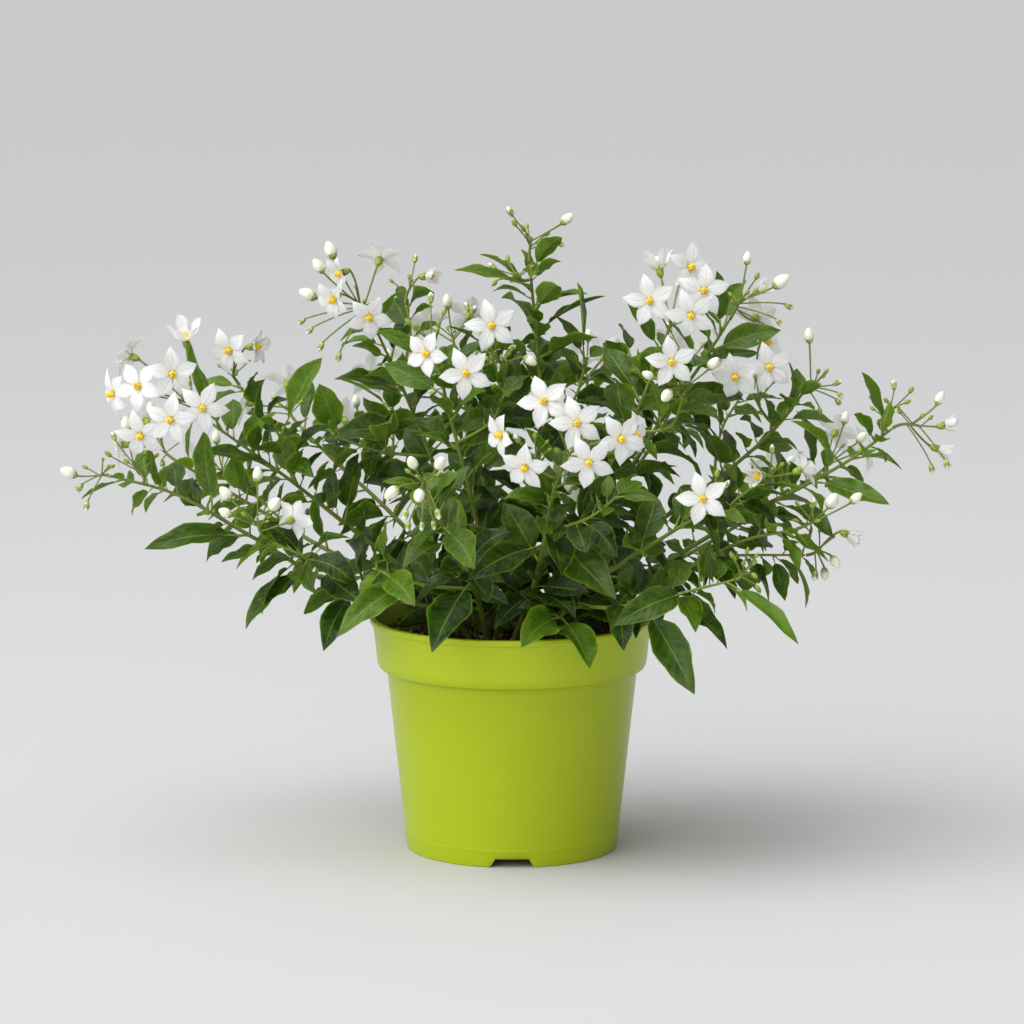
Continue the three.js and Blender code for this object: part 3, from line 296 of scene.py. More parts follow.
# The sprays, in mm. Each leaves a shoot at a place, and its main stalk ends at its hub. A flower is
# [x, y, z, turn, rise, openness] and a bud is [x, y, z, length].
SPRAYS = {
    "left_cluster": {
        "from": ["left_high", 1], "hub": [-147, -27, 210],
        "flowers": [[-147, -12, 235, -10, 72, 0.5], [-171, -14, 228, -110, 20, 0.7],
            [-178, -28, 213, -60, -10, 1], [-166, -42, 218, -20, 15, 1], [-151, -46, 224, 15, 5, 1],
            [-137, -54, 210, 5, 0, 1], [-151, -56, 205, -10, -5, 1], [-165, -46, 197, -12, -22, 1]],
        "buds": [],
    },
    "left_tall": {
        "from": ["left_high", 2.99], "hub": [-127, 0, 218],
        "flowers": [[-127, -14, 231, -25, -8, 0.85], [-117, -10, 232, 65, 5, 0.6]],
        "buds": [[-131, 10, 232, 8]],
    },
    "left_tip": {
        "from": ["left_low", 1], "hub": [-186, -36, 177],
        "flowers": [],
        "buds": [[-198, -40, 179, 8.5], [-194, -34, 171, 6], [-190, -42, 164, 5.5]],
    },
    "left_tip_up": {
        "from": ["left_low", 0.9], "hub": [-170, -40, 183],
        "flowers": [],
        "buds": [[-172, -42, 201, 7.5], [-178, -37, 195, 5], [-180, -44, 188, 4.5]],
    },
    "left_inner": {
        "from": ["left_low", 1.99], "hub": [-113, -56, 161],
        "flowers": [[-98, -56, 160, 150, 10, 0.7]],
        "buds": [[-127, -56, 172, 8], [-127, -60, 164, 7], [-113, -52, 180, 7.5],
            [-105, -62, 168, 8.5]],
    },
    "upper_left_spray": {
        "from": ["upper_left", 1], "hub": [-70, -9, 252],
        "flowers": [[-60, 4, 270, 160, 40, 0.9], [-76, -12, 266, -60, -15, 0.6],
            [-79, -26, 256, -40, -25, 0.7], [-64, -30, 248, 5, -15, 0.8]],
        "buds": [[-82, -2, 275, 9], [-87, -14, 269, 8], [-92, -12, 256, 9], [-95, -6, 243, 5],
            [-91, -16, 240, 5], [-86, -18, 233, 5.5], [-78, -16, 228, 5.5]],
    },
    "upper_left_side": {
        "from": ["upper_left", 2.99], "hub": [-46, 0, 258],
        "flowers": [[-39, -2, 263, 60, 5, 0.55]],
        "buds": [[-44, 10, 270, 5]],
    },
    "crown_left_spray": {
        "from": ["crown_left", 1], "hub": [-36, -48, 240],
        "flowers": [[-37, -68, 236, -25, 0, 0.8]],
        "buds": [[-36, -44, 258, 6], [-46, -50, 248, 4.5], [-43, -56, 246, 4.5],
            [-30, -46, 252, 4.5]],
    },
    "crown_right_spray": {
        "from": ["crown_left", 1.99], "hub": [-8, -52, 234],
        "flowers": [[-9, -58, 247, 0, 5, 1], [-20, -74, 228, -5, 0, 1]],
        "buds": [[8, -54, 231, 7], [0, -48, 236, 5], [-20, -44, 254, 5]],
    },
    "top_spray": {
        "from": ["top", 1], "hub": [9, 8, 280],
        "flowers": [],
        "buds": [[-1, 4, 292, 6], [1, 0, 287, 4.5], [5, 8, 284, 4.5], [25, 10, 288, 7.5],
            [16, 14, 281, 4.5], [22, 6, 277, 5]],
    },
    "top_side": {
        "from": ["top", 0.93], "hub": [0, 4, 264],
        "flowers": [],
        "buds": [[-2, 12, 270, 4.5], [-9, 6, 267, 5], [-8, -2, 260, 4.5]],
    },
    "front_cluster": {
        "from": ["front", 1], "hub": [27, -86, 196],
        "flowers": [[14, -94, 218, -8, 12, 1], [28, -104, 210, 3, 5, 1],
            [33, -110, 194, 2, -10, 1], [45, -99, 203, 18, 2, 0.95], [52, -92, 203, 62, -5, 0.85]],
        "buds": [[20, -82, 208, 5]],
    },
    "front_small": {
        "from": ["front", 0.9], "hub": [9, -86, 194],
        "flowers": [[-4, -90, 203, -58, -5, 0.85], [6, -103, 191, -22, -22, 0.9]],
        "buds": [[2, -94, 202, 6], [10, -92, 203, 4]],
    },
    "front_left_buds": {
        "from": ["front_left", 1], "hub": [-38, -98, 184],
        "flowers": [],
        "buds": [[-43, -106, 193, 7.5], [-31, -108, 193, 8], [-52, -108, 180, 8.5],
            [-40, -116, 180, 8], [-46, -112, 171, 6], [-32, -110, 171, 6], [-45, -106, 165, 5.5],
            [-39, -112, 166, 5], [-34, -102, 165, 5]],
    },
    "right_upper_cluster": {
        "from": ["right_cluster", 1], "hub": [71, -40, 248],
        "flowers": [[66, -22, 268, -150, 65, 0.5], [79, -30, 270, 30, 10, 0.9],
            [61, -48, 257, -5, 0, 1], [85, -42, 261, 5, 5, 1], [79, -56, 252, -5, -18, 1]],
        "buds": [],
    },
    "right_cluster_side": {
        "from": ["right_cluster", 1.99], "hub": [78, -52, 221],
        "flowers": [[70, -66, 232, 5, 0, 0.95]],
        "buds": [[60, -58, 225, 6.5], [68, -66, 217, 8], [89, -56, 230, 7.5]],
    },
    "upper_right_spray": {
        "from": ["upper_right", 1], "hub": [103, -10, 254],
        "flowers": [[111, 10, 243, 150, 15, 0.9], [112, 4, 256, 60, 30, 0.5]],
        "buds": [[106, -8, 272, 6.5], [121, -14, 262, 9.5], [110, -18, 265, 4.5],
            [125, -8, 250, 5.5], [120, -18, 244, 5], [116, -6, 239, 5]],
    },
    "right_mid_spray": {
        "from": ["right_mid", 0.8], "hub": [109, -16, 212],
        "flowers": [[115, -28, 225, 5, 0, 0.95], [100, -36, 222, -15, -15, 0.9],
            [114, -6, 232, 60, 35, 0.6]],
        "buds": [],
    },
    "right_mid_tip": {
        "from": ["right_mid", 1], "hub": [137, -10, 214],
        "flowers": [],
        "buds": [[134, -8, 237, 7.5], [147, -12, 216, 5.5], [148, -18, 211, 5], [148, -4, 206, 5],
            [139, -14, 203, 4.5]],
    },
    "right_long_up": {
        "from": ["right_long", 0.97], "hub": [172, -32, 208],
        "flowers": [],
        "buds": [[171, -28, 217, 5.5], [178, -38, 216, 4.5], [167, -36, 211, 4]],
    },
    "right_long_tip": {
        "from": ["right_long", 1], "hub": [183, -35, 199],
        "flowers": [[193, -38, 200, 80, 10, 0.5], [191, -28, 188, 85, -20, 0.5]],
        "buds": [[191, -36, 212, 7], [194, -42, 183, 6], [188, -34, 180, 5.5]],
    },
    "right_low_tip": {
        "from": ["right_low", 1], "hub": [135, -50, 159],
        "flowers": [],
        "buds": [[142, -58, 169, 9], [153, -50, 169, 7], [134, -56, 168, 5]],
    },
    "right_low_hang": {
        "from": ["right_low", 1.99], "hub": [139, -32, 144],
        "flowers": [[150, -40, 151, 75, -20, 0.5]],
        "buds": [[145, -38, 138, 7], [141, -28, 131, 6.5], [136, -38, 132, 6]],
    },
    "right_inner": {
        "from": ["right_long", 1.99], "hub": [116, -44, 178],
        "flowers": [[110, -56, 180, -40, 0, 0.5], [128, -46, 181, 110, 20, 0.6]],
        "buds": [[116, -42, 190, 5]],
    },
    "front_right_star": {
        "from": ["front_right", 1], "hub": [87, -84, 173],
        "flowers": [[83, -98, 176, -8, 5, 1]],
        "buds": [[94, -82, 180, 5], [90, -76, 184, 4.5]],
    },
    "front_right_young": {
        "from": ["front_right", 1.99], "hub": [101, -86, 142],
        "flowers": [],
        "buds": [[106, -92, 141, 4.5], [101, -94, 147, 4], [96, -90, 150, 4.5],
            [108, -86, 134, 4.5]],
    },
    "back_left_spray": {
        "from": ["back_left", 1], "hub": [-106, 70, 195],
        "flowers": [[-124, 72, 196, -110, 15, 1], [-106, 81, 204, 175, 30, 1]],
        "buds": [[-98, 69, 208, 7], [-120, 81, 188, 6]],
    },
    "back_left_side": {
        "from": ["back_left", 1.99], "hub": [-56, 76, 203],
        "flowers": [[-67, 84, 208, -150, 15, 1], [-50, 85, 214, 165, 35, 0.9]],
        "buds": [[-58, 75, 218, 6.5]],
    },
    "back_left_low_spray": {
        "from": ["back_left_low", 1], "hub": [-165, 58, 177],
        "flowers": [[-182, 58, 178, -100, 5, 1], [-172, 67, 188, -145, 20, 0.9]],
        "buds": [[-178, 46, 188, 7], [-164, 64, 168, 5], [-168, 50, 196, 7.5]],
    },
    "back_left_far": {
        "from": ["back_left_low", 1.99], "hub": [-138, 81, 163],
        "flowers": [[-150, 89, 166, -145, 10, 1]],
        "buds": [[-134, 90, 158, 6], [-140, 82, 178, 7]],
    },
    "back_spray": {
        "from": ["back", 1], "hub": [-23, 105, 204],
        "flowers": [[-36, 111, 208, -155, 15, 1], [-12, 112, 212, 160, 20, 1]],
        "buds": [[-14, 103, 222, 7], [-38, 105, 196, 6]],
    },
    "back_side": {
        "from": ["back", 1.99], "hub": [-72, 91, 178],
        "flowers": [[-80, 100, 184, -155, 15, 1]],
        "buds": [[-74, 92, 194, 6.5]],
    },
    "back_low": {
        "from": ["back", 2.99], "hub": [24, 91, 148],
        "flowers": [[30, 100, 152, 165, 5, 1]],
        "buds": [[16, 97, 140, 6], [26, 95, 164, 6.5]],
    },
    "back_right_spray": {
        "from": ["back_right", 1], "hub": [84, 85, 214],
        "flowers": [[98, 92, 218, 135, 15, 1], [76, 95, 220, 175, 20, 1]],
        "buds": [[84, 85, 234, 7.5], [74, 86, 230, 6]],
    },
    "back_right_side": {
        "from": ["back_right", 1.99], "hub": [35, 85, 208],
        "flowers": [[28, 93, 212, -170, 10, 1], [44, 93, 216, 160, 20, 0.9]],
        "buds": [[36, 86, 226, 6.5]],
    },
    "back_right_low_spray": {
        "from": ["back_right_low", 1], "hub": [150, 61, 171],
        "flowers": [[165, 64, 174, 110, 10, 1], [152, 70, 182, 155, 25, 1]],
        "buds": [[163, 52, 182, 7], [156, 62, 190, 6.5]],
    },
    "back_right_far": {
        "from": ["back_right_low", 1.99], "hub": [120, 85, 154],
        "flowers": [[124, 95, 160, 155, 10, 1]],
        "buds": [[132, 87, 166, 6.5], [122, 90, 144, 5]],
    },
    "back_top_spray": {
        "from": ["back_top", 1], "hub": [-28, 50, 231],
        "flowers": [[-40, 61, 234, -140, 20, 1], [-20, 64, 238, 170, 30, 1]],
        "buds": [[-30, 50, 246, 7.5], [-18, 50, 242, 6]],
    },
}


# Settings

def linear(red, green, blue):
    """A colour given as it is seen, from 0 to 255, as the renderer wants it"""
    def one(value):
        value /= 255
        return value / 12.92 if value <= 0.04045 else ((value + 0.055) / 1.055) ** 2.4

    return one(red), one(green), one(blue), 1.0


class PotSettings(bpy.types.PropertyGroup):
    """The pot and the soil in it"""

    steps: bpy.props.IntProperty(
        name="Steps", description="How many steps the pot's wall has around it", default=120, min=24
    )
    plastic: bpy.props.FloatVectorProperty(
        name="Plastic", description="The colour of the pot's body", default=linear(167, 185, 1),
        size=4, min=0.0, max=1.0, subtype="COLOR",
    )
    # The collar's colour is a painted highlight: the collar is the same plastic as the body, drawn
    # lighter for the light that falls on it
    collar: bpy.props.FloatVectorProperty(
        name="Collar", description="The paler colour that the pot has at its collar",
        default=linear(186, 205, 28), size=4, min=0.0, max=1.0, subtype="COLOR",
    )
    soil: bpy.props.FloatVectorProperty(
        name="Soil", description="The colour of the lightest soil", default=linear(102, 76, 44),
        size=4, min=0.0, max=1.0, subtype="COLOR",
    )
    crumbs: bpy.props.IntProperty(
        name="Crumbs", description="How many loose crumbs lie on the soil", default=520, min=0
    )
    crumb_size: bpy.props.FloatProperty(
        name="Crumb Size", description="How large the largest crumb is", default=0.0032, min=0.0,
        unit="LENGTH", subtype="DISTANCE",
    )


class FoliageSettings(bpy.types.PropertyGroup):
    """The stems and their leaves"""

    old: bpy.props.FloatVectorProperty(
        name="Old Leaves", description="The colour of the oldest leaves from above",
        default=linear(27, 50, 4), size=4, min=0.0, max=1.0, subtype="COLOR",
    )
    young: bpy.props.FloatVectorProperty(
        name="Young Leaves", description="The colour of the youngest leaves from above",
        default=linear(90, 122, 10), size=4, min=0.0, max=1.0, subtype="COLOR",
    )
    blade: bpy.props.FloatProperty(
        name="Blade Thickness", description="How thick a leaf's blade is", default=0.0003, min=0.0,
        unit="LENGTH", subtype="DISTANCE",
    )
    spacing: bpy.props.FloatProperty(
        name="Spacing", description="How far apart the small leaves are along a stem",
        default=0.0055, min=0.001, unit="LENGTH", subtype="DISTANCE",
    )
    shortest: bpy.props.FloatProperty(
        name="Shortest", description="How long the shortest of the small leaves is", default=0.017,
        min=0.0, unit="LENGTH", subtype="DISTANCE",
    )
    longest: bpy.props.FloatProperty(
        name="Longest", description="How long the longest of the small leaves is", default=0.036,
        min=0.0, unit="LENGTH", subtype="DISTANCE",
    )
    clearance: bpy.props.FloatProperty(
        name="Clearance", description="How far the small leaves stay from the others",
        default=0.0011, min=0.0, unit="LENGTH", subtype="DISTANCE",
    )


class BlossomSettings(bpy.types.PropertyGroup):
    """The flowers, their buds and stalks"""

    petals: bpy.props.FloatVectorProperty(
        name="Petals", description="The colour of the petals", default=linear(251, 251, 249),
        size=4, min=0.0, max=1.0, subtype="COLOR",
    )
    anthers: bpy.props.FloatVectorProperty(
        name="Anthers", description="The colour of the anthers' light parts",
        default=linear(255, 228, 60), size=4, min=0.0, max=1.0, subtype="COLOR",
    )
    radius: bpy.props.FloatProperty(
        name="Flower Radius", description="How far an open flower's petals reach", default=0.0126,
        min=0.0, unit="LENGTH", subtype="DISTANCE",
    )
    petal: bpy.props.FloatProperty(
        name="Petal Thickness", description="How thick a petal is", default=0.0003, min=0.0,
        unit="LENGTH", subtype="DISTANCE",
    )
    young: bpy.props.IntProperty(
        name="Young Buds", description="How many tiny green buds each spray has besides the others",
        default=4, min=0,
    )


class StageSettings(bpy.types.PropertyGroup):
    """The floor, the light and the camera"""

    floor: bpy.props.FloatProperty(
        name="Floor Radius", description="How far the floor reaches", default=17.0, min=0.0,
        unit="LENGTH", subtype="DISTANCE",
    )
    grey: bpy.props.FloatVectorProperty(
        name="Floor Grey", description="The colour of the floor", default=(0.595, 0.595, 0.6, 1.0),
        size=4, min=0.0, max=1.0, subtype="COLOR",
    )
    distance: bpy.props.FloatProperty(
        name="Camera Distance", description="How far the camera is from the middle of the plant",
        default=2.1, min=0.0, unit="LENGTH", subtype="DISTANCE",
    )
    focal: bpy.props.FloatProperty(
        name="Focal Length", description="The camera's focal length in mm", default=161.9, min=1.0,
    )
    pitch: bpy.props.FloatProperty(
        name="Pitch", description="How far down the camera looks", default=math.radians(8.8),
        unit="ROTATION", subtype="ANGLE",
    )


# Numbers, directions and curves

def draws(seed):
    """A function that gives the same chain of numbers from 0 to 1 for a seed, as in the CAD"""
    mask = 0xFFFFFFFF
    state = (seed * 2654435761) & mask

    def draw():
        nonlocal state
        state = (state + 0x6D2B79F5) & mask
        word = ((state ^ (state >> 15)) * (state | 1)) & mask
        word = ((word + (((word ^ (word >> 7)) * (word | 61)) & mask)) & mask) ^ word
        return ((word ^ (word >> 14)) & mask) / (mask + 1)

    return draw


def blended(low, high, share):
    """The value at a share of the way between two"""
    return low + (high - low) * share


def held(share):
    """A share kept between 0 and 1"""
    return min(1.0, max(0.0, share))


def fading(offset, share, reach):
    """An offset at a share of a curve, gone where the share has come to its reach"""
    return offset * max(0.0, 1 - share / reach) ** 2


def frame_of(direction, near=None):
    """Two unit directions square to a direction, the first as near as can be to a given one"""
    if near is None:
        steep = abs(direction.z) > 0.9
        near = Vector((1.0, 0.0, 0.0)) if steep else UP
    first = (near - direction * near.dot(direction)).normalized()
    return first, direction.cross(first)


def spline(points, share):
    """The point and the direction at a share of a smooth curve through points"""
    place = (len(points) - 1) * share
    low = min(int(place), len(points) - 2)
    w = place - low
    b, c = points[low], points[low + 1]
    a = points[low - 1] if low > 0 else b * 2 - c
    d = points[low + 2] if low + 2 < len(points) else c * 2 - b
    leave, arrive = (c - a) * 0.5, (d - b) * 0.5
    square = (c - b) * 3 - leave * 2 - arrive
    cube = (b - c) * 2 + leave + arrive
    point = b + leave * w + square * (w * w) + cube * (w * w * w)
    direction = leave + square * (2 * w) + cube * (3 * w * w)
    return point, direction.normalized()


def bezier(start, bend, end, share):
    """The point and the direction at a share of a curve with one bend"""
    rest = 1 - share
    point = start * (rest * rest) + bend * (2 * rest * share) + end * (share * share)
    direction = (bend - start) * rest + (end - bend) * share
    return point, direction.normalized()


class Axis:
    """The middle line of a stem, in mm"""

    JOIN_REACH = 0.3
    LENGTH_STEPS = 12

    def __init__(self, points, radius, leaves, steps):
        self.points = [Vector(p) for p in points]
        self.radius = radius
        self.leaves = leaves
        self.steps = steps
        self.offset = Vector((0.0, 0.0, 0.0))

    def at(self, share):
        """The point on the smooth curve"""
        return spline(self.points, share)[0] + fading(self.offset, share, self.JOIN_REACH)

    def along(self, share):
        """The direction of the smooth curve"""
        return spline(self.points, share)[1]

    def chain(self, share):
        """The point on the straight lines between the rings of the CAD stem"""
        low = min(self.steps - 1, int(share * self.steps))
        start = spline(self.points, low / self.steps)[0]
        end = spline(self.points, (low + 1) / self.steps)[0]
        return start.lerp(end, share * self.steps - low)

    def thick(self, share):
        """The radius of the CAD stem"""
        return blended(*self.radius, share)

    def slim(self, share):
        """The radius of the stem that is shown, thinner towards its tip"""
        return self.thick(share) * blended(0.9, 0.72, share)

    def length(self):
        """How long the curve is"""
        shares = [k / self.LENGTH_STEPS for k in range(self.LENGTH_STEPS + 1)]
        stops = [spline(self.points, share)[0] for share in shares]
        return sum((b - a).length for a, b in zip(stops, stops[1:]))


def axes_of(shoot):
    """A shoot's main stem above the soil, then its side branches"""
    foot = [*shoot["foot"], SOIL_LEVEL + STEM_RISE]
    main = Axis([foot, *shoot["route"]], shoot["radius"], shoot["leaves"], len(shoot["route"]))
    axes = [main]
    for side in shoot["sides"]:
        start = main.chain(side["at"])
        radius = [SIDE_FOOT_SHARE * main.thick(side["at"]), SIDE_TIP_RADIUS]
        branch = Axis([start, *side["route"]], radius, side["leaves"], SIDE_STEPS)
        branch.offset = main.at(side["at"]) - start
        axes.append(branch)
    return axes


def place_on(axes, place):
    """The axis and the share along it that a place stands for"""
    branch = 0 if place <= 1 else int(place)
    return axes[branch], place - branch


AXES = {name: axes_of(shoot) for name, shoot in SHOOTS.items()}


def cad_points(node):
    """The points of a CAD solid, in mm, ready to be looked up"""
    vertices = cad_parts[node].data.vertices
    tree = kdtree.KDTree(len(vertices))
    for k, vertex in enumerate(vertices):
        tree.insert(vertex.co / MM, k)
    tree.balance()
    return tree


def is_at(tree, point, near=0.05):
    """Whether a CAD solid has one of its points there"""
    return tree.find(point)[2] < near


# Nodes of the materials

def node(tree, kind, settings=None, **values):
    """Adds a node. A value that is a socket is joined to its input, and any other is set."""
    made = tree.nodes.new(kind)
    for name, value in (settings or {}).items():
        setattr(made, name, value)
    for name, value in values.items():
        fill(tree, made.inputs[name.replace("_", " ")], value)
    return made


def fill(tree, socket, value):
    """Joins a socket to an input, or sets the input's value"""
    if isinstance(value, bpy.types.NodeSocket):
        tree.links.new(value, socket)
    else:
        socket.default_value = value


def calc(tree, operation, *values, clamp=False):
    """A math node's result"""
    made = node(tree, "ShaderNodeMath", {"operation": operation, "use_clamp": clamp})
    for socket, value in zip(made.inputs, values):
        fill(tree, socket, value)
    return made.outputs[0]


def span(tree, value, low, high, start=0.0, end=1.0):
    """A smooth change from start to end while the value goes from low to high"""
    made = node(tree, "ShaderNodeMapRange", {"interpolation_type": "SMOOTHSTEP"})
    for name, given in (("Value", value), ("From Min", low), ("From Max", high), ("To Min", start),
                        ("To Max", end)):
        fill(tree, made.inputs[name], given)
    return made.outputs[0]


def mixed(tree, share, low, high):
    """A mix of two colours. The numbers are the places of a mix node's sockets for colours."""
    made = node(tree, "ShaderNodeMix", {"data_type": "RGBA"})
    for place, value in ((0, share), (6, low), (7, high)):
        fill(tree, made.inputs[place], value)
    return made.outputs[2]


def group(name, inputs, outputs, build):
    """A node group, built once. Every socket is a number."""
    if name in bpy.data.node_groups:
        return bpy.data.node_groups[name]
    tree = bpy.data.node_groups.new(name, "ShaderNodeTree")
    for label in inputs:
        tree.interface.new_socket(name=label, in_out="INPUT", socket_type="NodeSocketFloat")
    for label in outputs:
        tree.interface.new_socket(name=label, in_out="OUTPUT", socket_type="NodeSocketFloat")
    given = tree.nodes.new("NodeGroupInput")
    result = tree.nodes.new("NodeGroupOutput")
    made = build(tree, [given.outputs[label] for label in inputs])
    for label, socket in zip(outputs, made):
        tree.links.new(socket, result.inputs[label])
    return tree


def grouped(tree, made, **values):
    """A node that uses a group"""
    used = node(tree, "ShaderNodeGroup", {"node_tree": made})
    for name, value in values.items():
        fill(tree, used.inputs[name], value)
    return used.outputs


CELL_HALF = 0.42


def cell_group():
    """A point's place in its cell: across from -1 to 1, along from 0 to 1, and the cell's number"""
    def build(tree, given):
        columns, low, high = given
        place = node(tree, "ShaderNodeUVMap", {"uv_map": UV_MAP}).outputs[0]
        apart = node(tree, "ShaderNodeSeparateXYZ", Vector=place).outputs
        run = calc(tree, "MULTIPLY", apart[0], columns)
        cell = calc(tree, "FLOOR", run)
        middle = calc(tree, "SUBTRACT", calc(tree, "SUBTRACT", run, cell), 0.5)
        across = calc(tree, "DIVIDE", middle, CELL_HALF)
        along = calc(tree, "DIVIDE", calc(tree, "SUBTRACT", apart[1], low),
                     calc(tree, "SUBTRACT", high, low))
        return across, along, cell

    return group("Cell Place", ("Columns", "Low", "High"), ("Across", "Along", "Cell"), build)


SIDE_VEINS = 8.0


def vein_group():
    """A leaf's midrib, its side veins, the swell between them and its edge, where a painted highlight
    goes
    """
    def build(tree, given):
        across, along = given
        off = calc(tree, "ABSOLUTE", across)
        rib = span(tree, off, 0.015, 0.09, start=1.0, end=0.0)
        rib = calc(tree, "MULTIPLY", rib, span(tree, along, 0.55, 1.0, start=1.0, end=0.35))
        slanted = calc(tree, "SUBTRACT", along, calc(tree, "MULTIPLY", off, 0.2))
        run = calc(tree, "MULTIPLY", slanted, SIDE_VEINS)
        near = calc(tree, "ABSOLUTE", calc(tree, "SUBTRACT", calc(tree, "FRACT", run), 0.5))
        side = span(tree, near, 0.02, 0.16, start=1.0, end=0.0)
        side = calc(tree, "MULTIPLY", side, span(tree, off, 0.45, 0.95, start=1.0, end=0.0))
        quilt = span(tree, near, 0.0, 0.5)
        # The edge gets a painted highlight: it is drawn lighter for the bright rim that light catches
        edge = span(tree, off, 0.88, 1.0)
        return rib, side, quilt, edge

    return group("Leaf Veins", ("Across", "Along"), ("Rib", "Side", "Quilt", "Edge"), build)


def mottle_group():
    """Soft blotches over a cell"""
    def build(tree, given):
        across, along, cell, fine = given
        spot = node(tree, "ShaderNodeCombineXYZ")
        for socket, place, stretch in zip(spot.inputs, (across, along, cell), (0.6, 2.4, 3.7)):
            fill(tree, socket, calc(tree, "MULTIPLY", place, stretch))
        made = node(tree, "ShaderNodeTexNoise", Vector=spot.outputs[0], Scale=fine, Detail=3.0,
                    Roughness=0.6)
        return (span(tree, made.outputs[0], 0.3, 0.7),)

    return group("Mottle", ("Across", "Along", "Cell", "Fine"), ("Value",), build)


def grain_group():
    """Blotches and fine grain over an object, from the place of each point on it"""
    def build(tree, given):
        place = node(tree, "ShaderNodeTexCoord").outputs["Object"]
        coarse = node(tree, "ShaderNodeTexNoise", Vector=place, Scale=given[0], Detail=4.0,
                      Roughness=0.6)
        fine = node(tree, "ShaderNodeTexNoise", Vector=place, Scale=given[1], Detail=2.0,
                    Roughness=0.5)
        return span(tree, coarse.outputs[0], 0.3, 0.7), fine.outputs[0]

    return group("Grain", ("Coarse Scale", "Fine Scale"), ("Coarse", "Fine"), build)


def cell_of(tree, columns, band):
    """The place in the cells of a band of the UV map"""
    return grouped(tree, cell_group(), Columns=columns, Low=band[0], High=band[1])


def mottled(tree, place, fine):
    """Soft blotches that differ from cell to cell"""
    return grouped(tree, mottle_group(), Across=place["Across"], Along=place["Along"],
                   Cell=place["Cell"], Fine=fine)["Value"]


def material(name, build):
    """A material, built once. build is given its tree and its shader."""
    if name in bpy.data.materials:
        return bpy.data.materials[name]
    made = bpy.data.materials.new(name)
    made.use_nodes = True
    tree = made.node_tree
    tree.nodes.clear()
    shader = tree.nodes.new("ShaderNodeBsdfPrincipled")
    output = tree.nodes.new("ShaderNodeOutputMaterial")
    tree.links.new(shader.outputs[0], output.inputs[0])
    build(tree, shader)
    return made


def raised(tree, shader, height, strength, distance):
    """Gives a shader the relief of a height"""
    bump = node(tree, "ShaderNodeBump", Height=height, Strength=strength, Distance=distance)
    fill(tree, shader.inputs["Normal"], bump.outputs[0])


def glow_through(shader, share, colour, reach=0.0012):
    """Lets light into the thin blades and petals"""
    shader.inputs["Subsurface Weight"].default_value = share
    shader.inputs["Subsurface Radius"].default_value = colour
    shader.inputs["Subsurface Scale"].default_value = reach


# Materials of the foliage

# Where the leaves and stems lie on the UV map. Main stems, petioles and side branches each have a
# part of the stems' band.
LEAF_COLUMNS = 6
LEAF_TOP = (0.55, 0.98)
LEAF_UNDER = (0.12, 0.53)
STEM_BAND = (0.005, 0.1)
STEM_COLUMNS = 2
MAIN_PART = (0.02, 0.48)
PETIOLE_PART = (0.52, 0.7)
SIDE_PART = (0.72, 0.98)

BLACK = (0.0, 0.0, 0.0, 1.0)


def leaf_material(name, band, old, fresh, rib, rough):
    """A leaf's upper side or underside"""
    def build(tree, shader):
        place = cell_of(tree, LEAF_COLUMNS, band)
        veins = grouped(tree, vein_group(), Across=place["Across"], Along=place["Along"])
        blotch = mottled(tree, place, fine=2.2)
        age = span(tree, place["Cell"], 0.0, LEAF_COLUMNS - 1.0)
        uneven = calc(tree, "MULTIPLY", calc(tree, "SUBTRACT", blotch, 0.5), 0.42)
        colour = mixed(tree, calc(tree, "ADD", age, uneven, clamp=True), old, fresh)
        # The edge is drawn lighter in the rib's colour: a painted highlight for the bright rim that
        # light catches on the leaves
        for vein, share, tint in (("Quilt", 0.07, BLACK), ("Side", 0.1, rib), ("Rib", 0.5, rib),
                                  ("Edge", 0.35, rib)):
            colour = mixed(tree, calc(tree, "MULTIPLY", veins[vein], share), colour, tint)
        fill(tree, shader.inputs["Base Color"], colour)
        duller = calc(tree, "ADD", calc(tree, "MULTIPLY", blotch, 0.14), rough)
        fill(tree, shader.inputs["Roughness"], duller)
        height = calc(tree, "ADD", calc(tree, "MULTIPLY", veins["Quilt"], 0.55), blotch)
        height = calc(tree, "SUBTRACT", height, calc(tree, "MULTIPLY", veins["Rib"], 1.5))
        raised(tree, shader, height, strength=0.3, distance=0.0004)
        shader.inputs["Specular IOR Level"].default_value = 0.3
        glow_through(shader, share=0.26, colour=(0.45, 1.0, 0.06))

    return material(name, build)


def stem_material():
    """Green stems with soft blotches. Branches and petioles are lighter."""
    def build(tree, shader):
        place = cell_of(tree, STEM_COLUMNS, STEM_BAND)
        blotch = mottled(tree, place, fine=6.0)
        main = mixed(tree, blotch, linear(86, 104, 26), linear(130, 148, 50))
        branch = mixed(tree, blotch, linear(104, 128, 30), linear(148, 168, 58))
        colour = mixed(tree, place["Cell"], main, branch)
        fill(tree, shader.inputs["Base Color"], colour)
        shader.inputs["Roughness"].default_value = 0.5
        raised(tree, shader, blotch, strength=0.3, distance=0.0003)

    return material("vine_stem", build)


def foliage_looks(settings):
    """The materials of a leafy stem, in the order of its slots"""
    return [
        leaf_material("leaf_top", LEAF_TOP, settings.old, settings.young,
                      rib=linear(128, 152, 54), rough=0.34),
        leaf_material("leaf_underside", LEAF_UNDER, linear(70, 98, 24), linear(124, 152, 40),
                      rib=linear(150, 174, 84), rough=0.55),
        stem_material(),
    ]


# Materials of the flowers

# Where the sprays lie on the UV map. Each kind of small piece has a part of the lower band.
PETAL_COLUMNS = 4
PETAL_BAND = (0.5, 0.98)
SMALL_COLUMNS = 4
SMALL_BAND = (0.02, 0.45)
ANTHER_PART = (0.01, 0.24)
CALYX_PART = (0.26, 0.49)
BUD_PART = (0.51, 0.74)
STALK_PART = (0.76, 0.99)


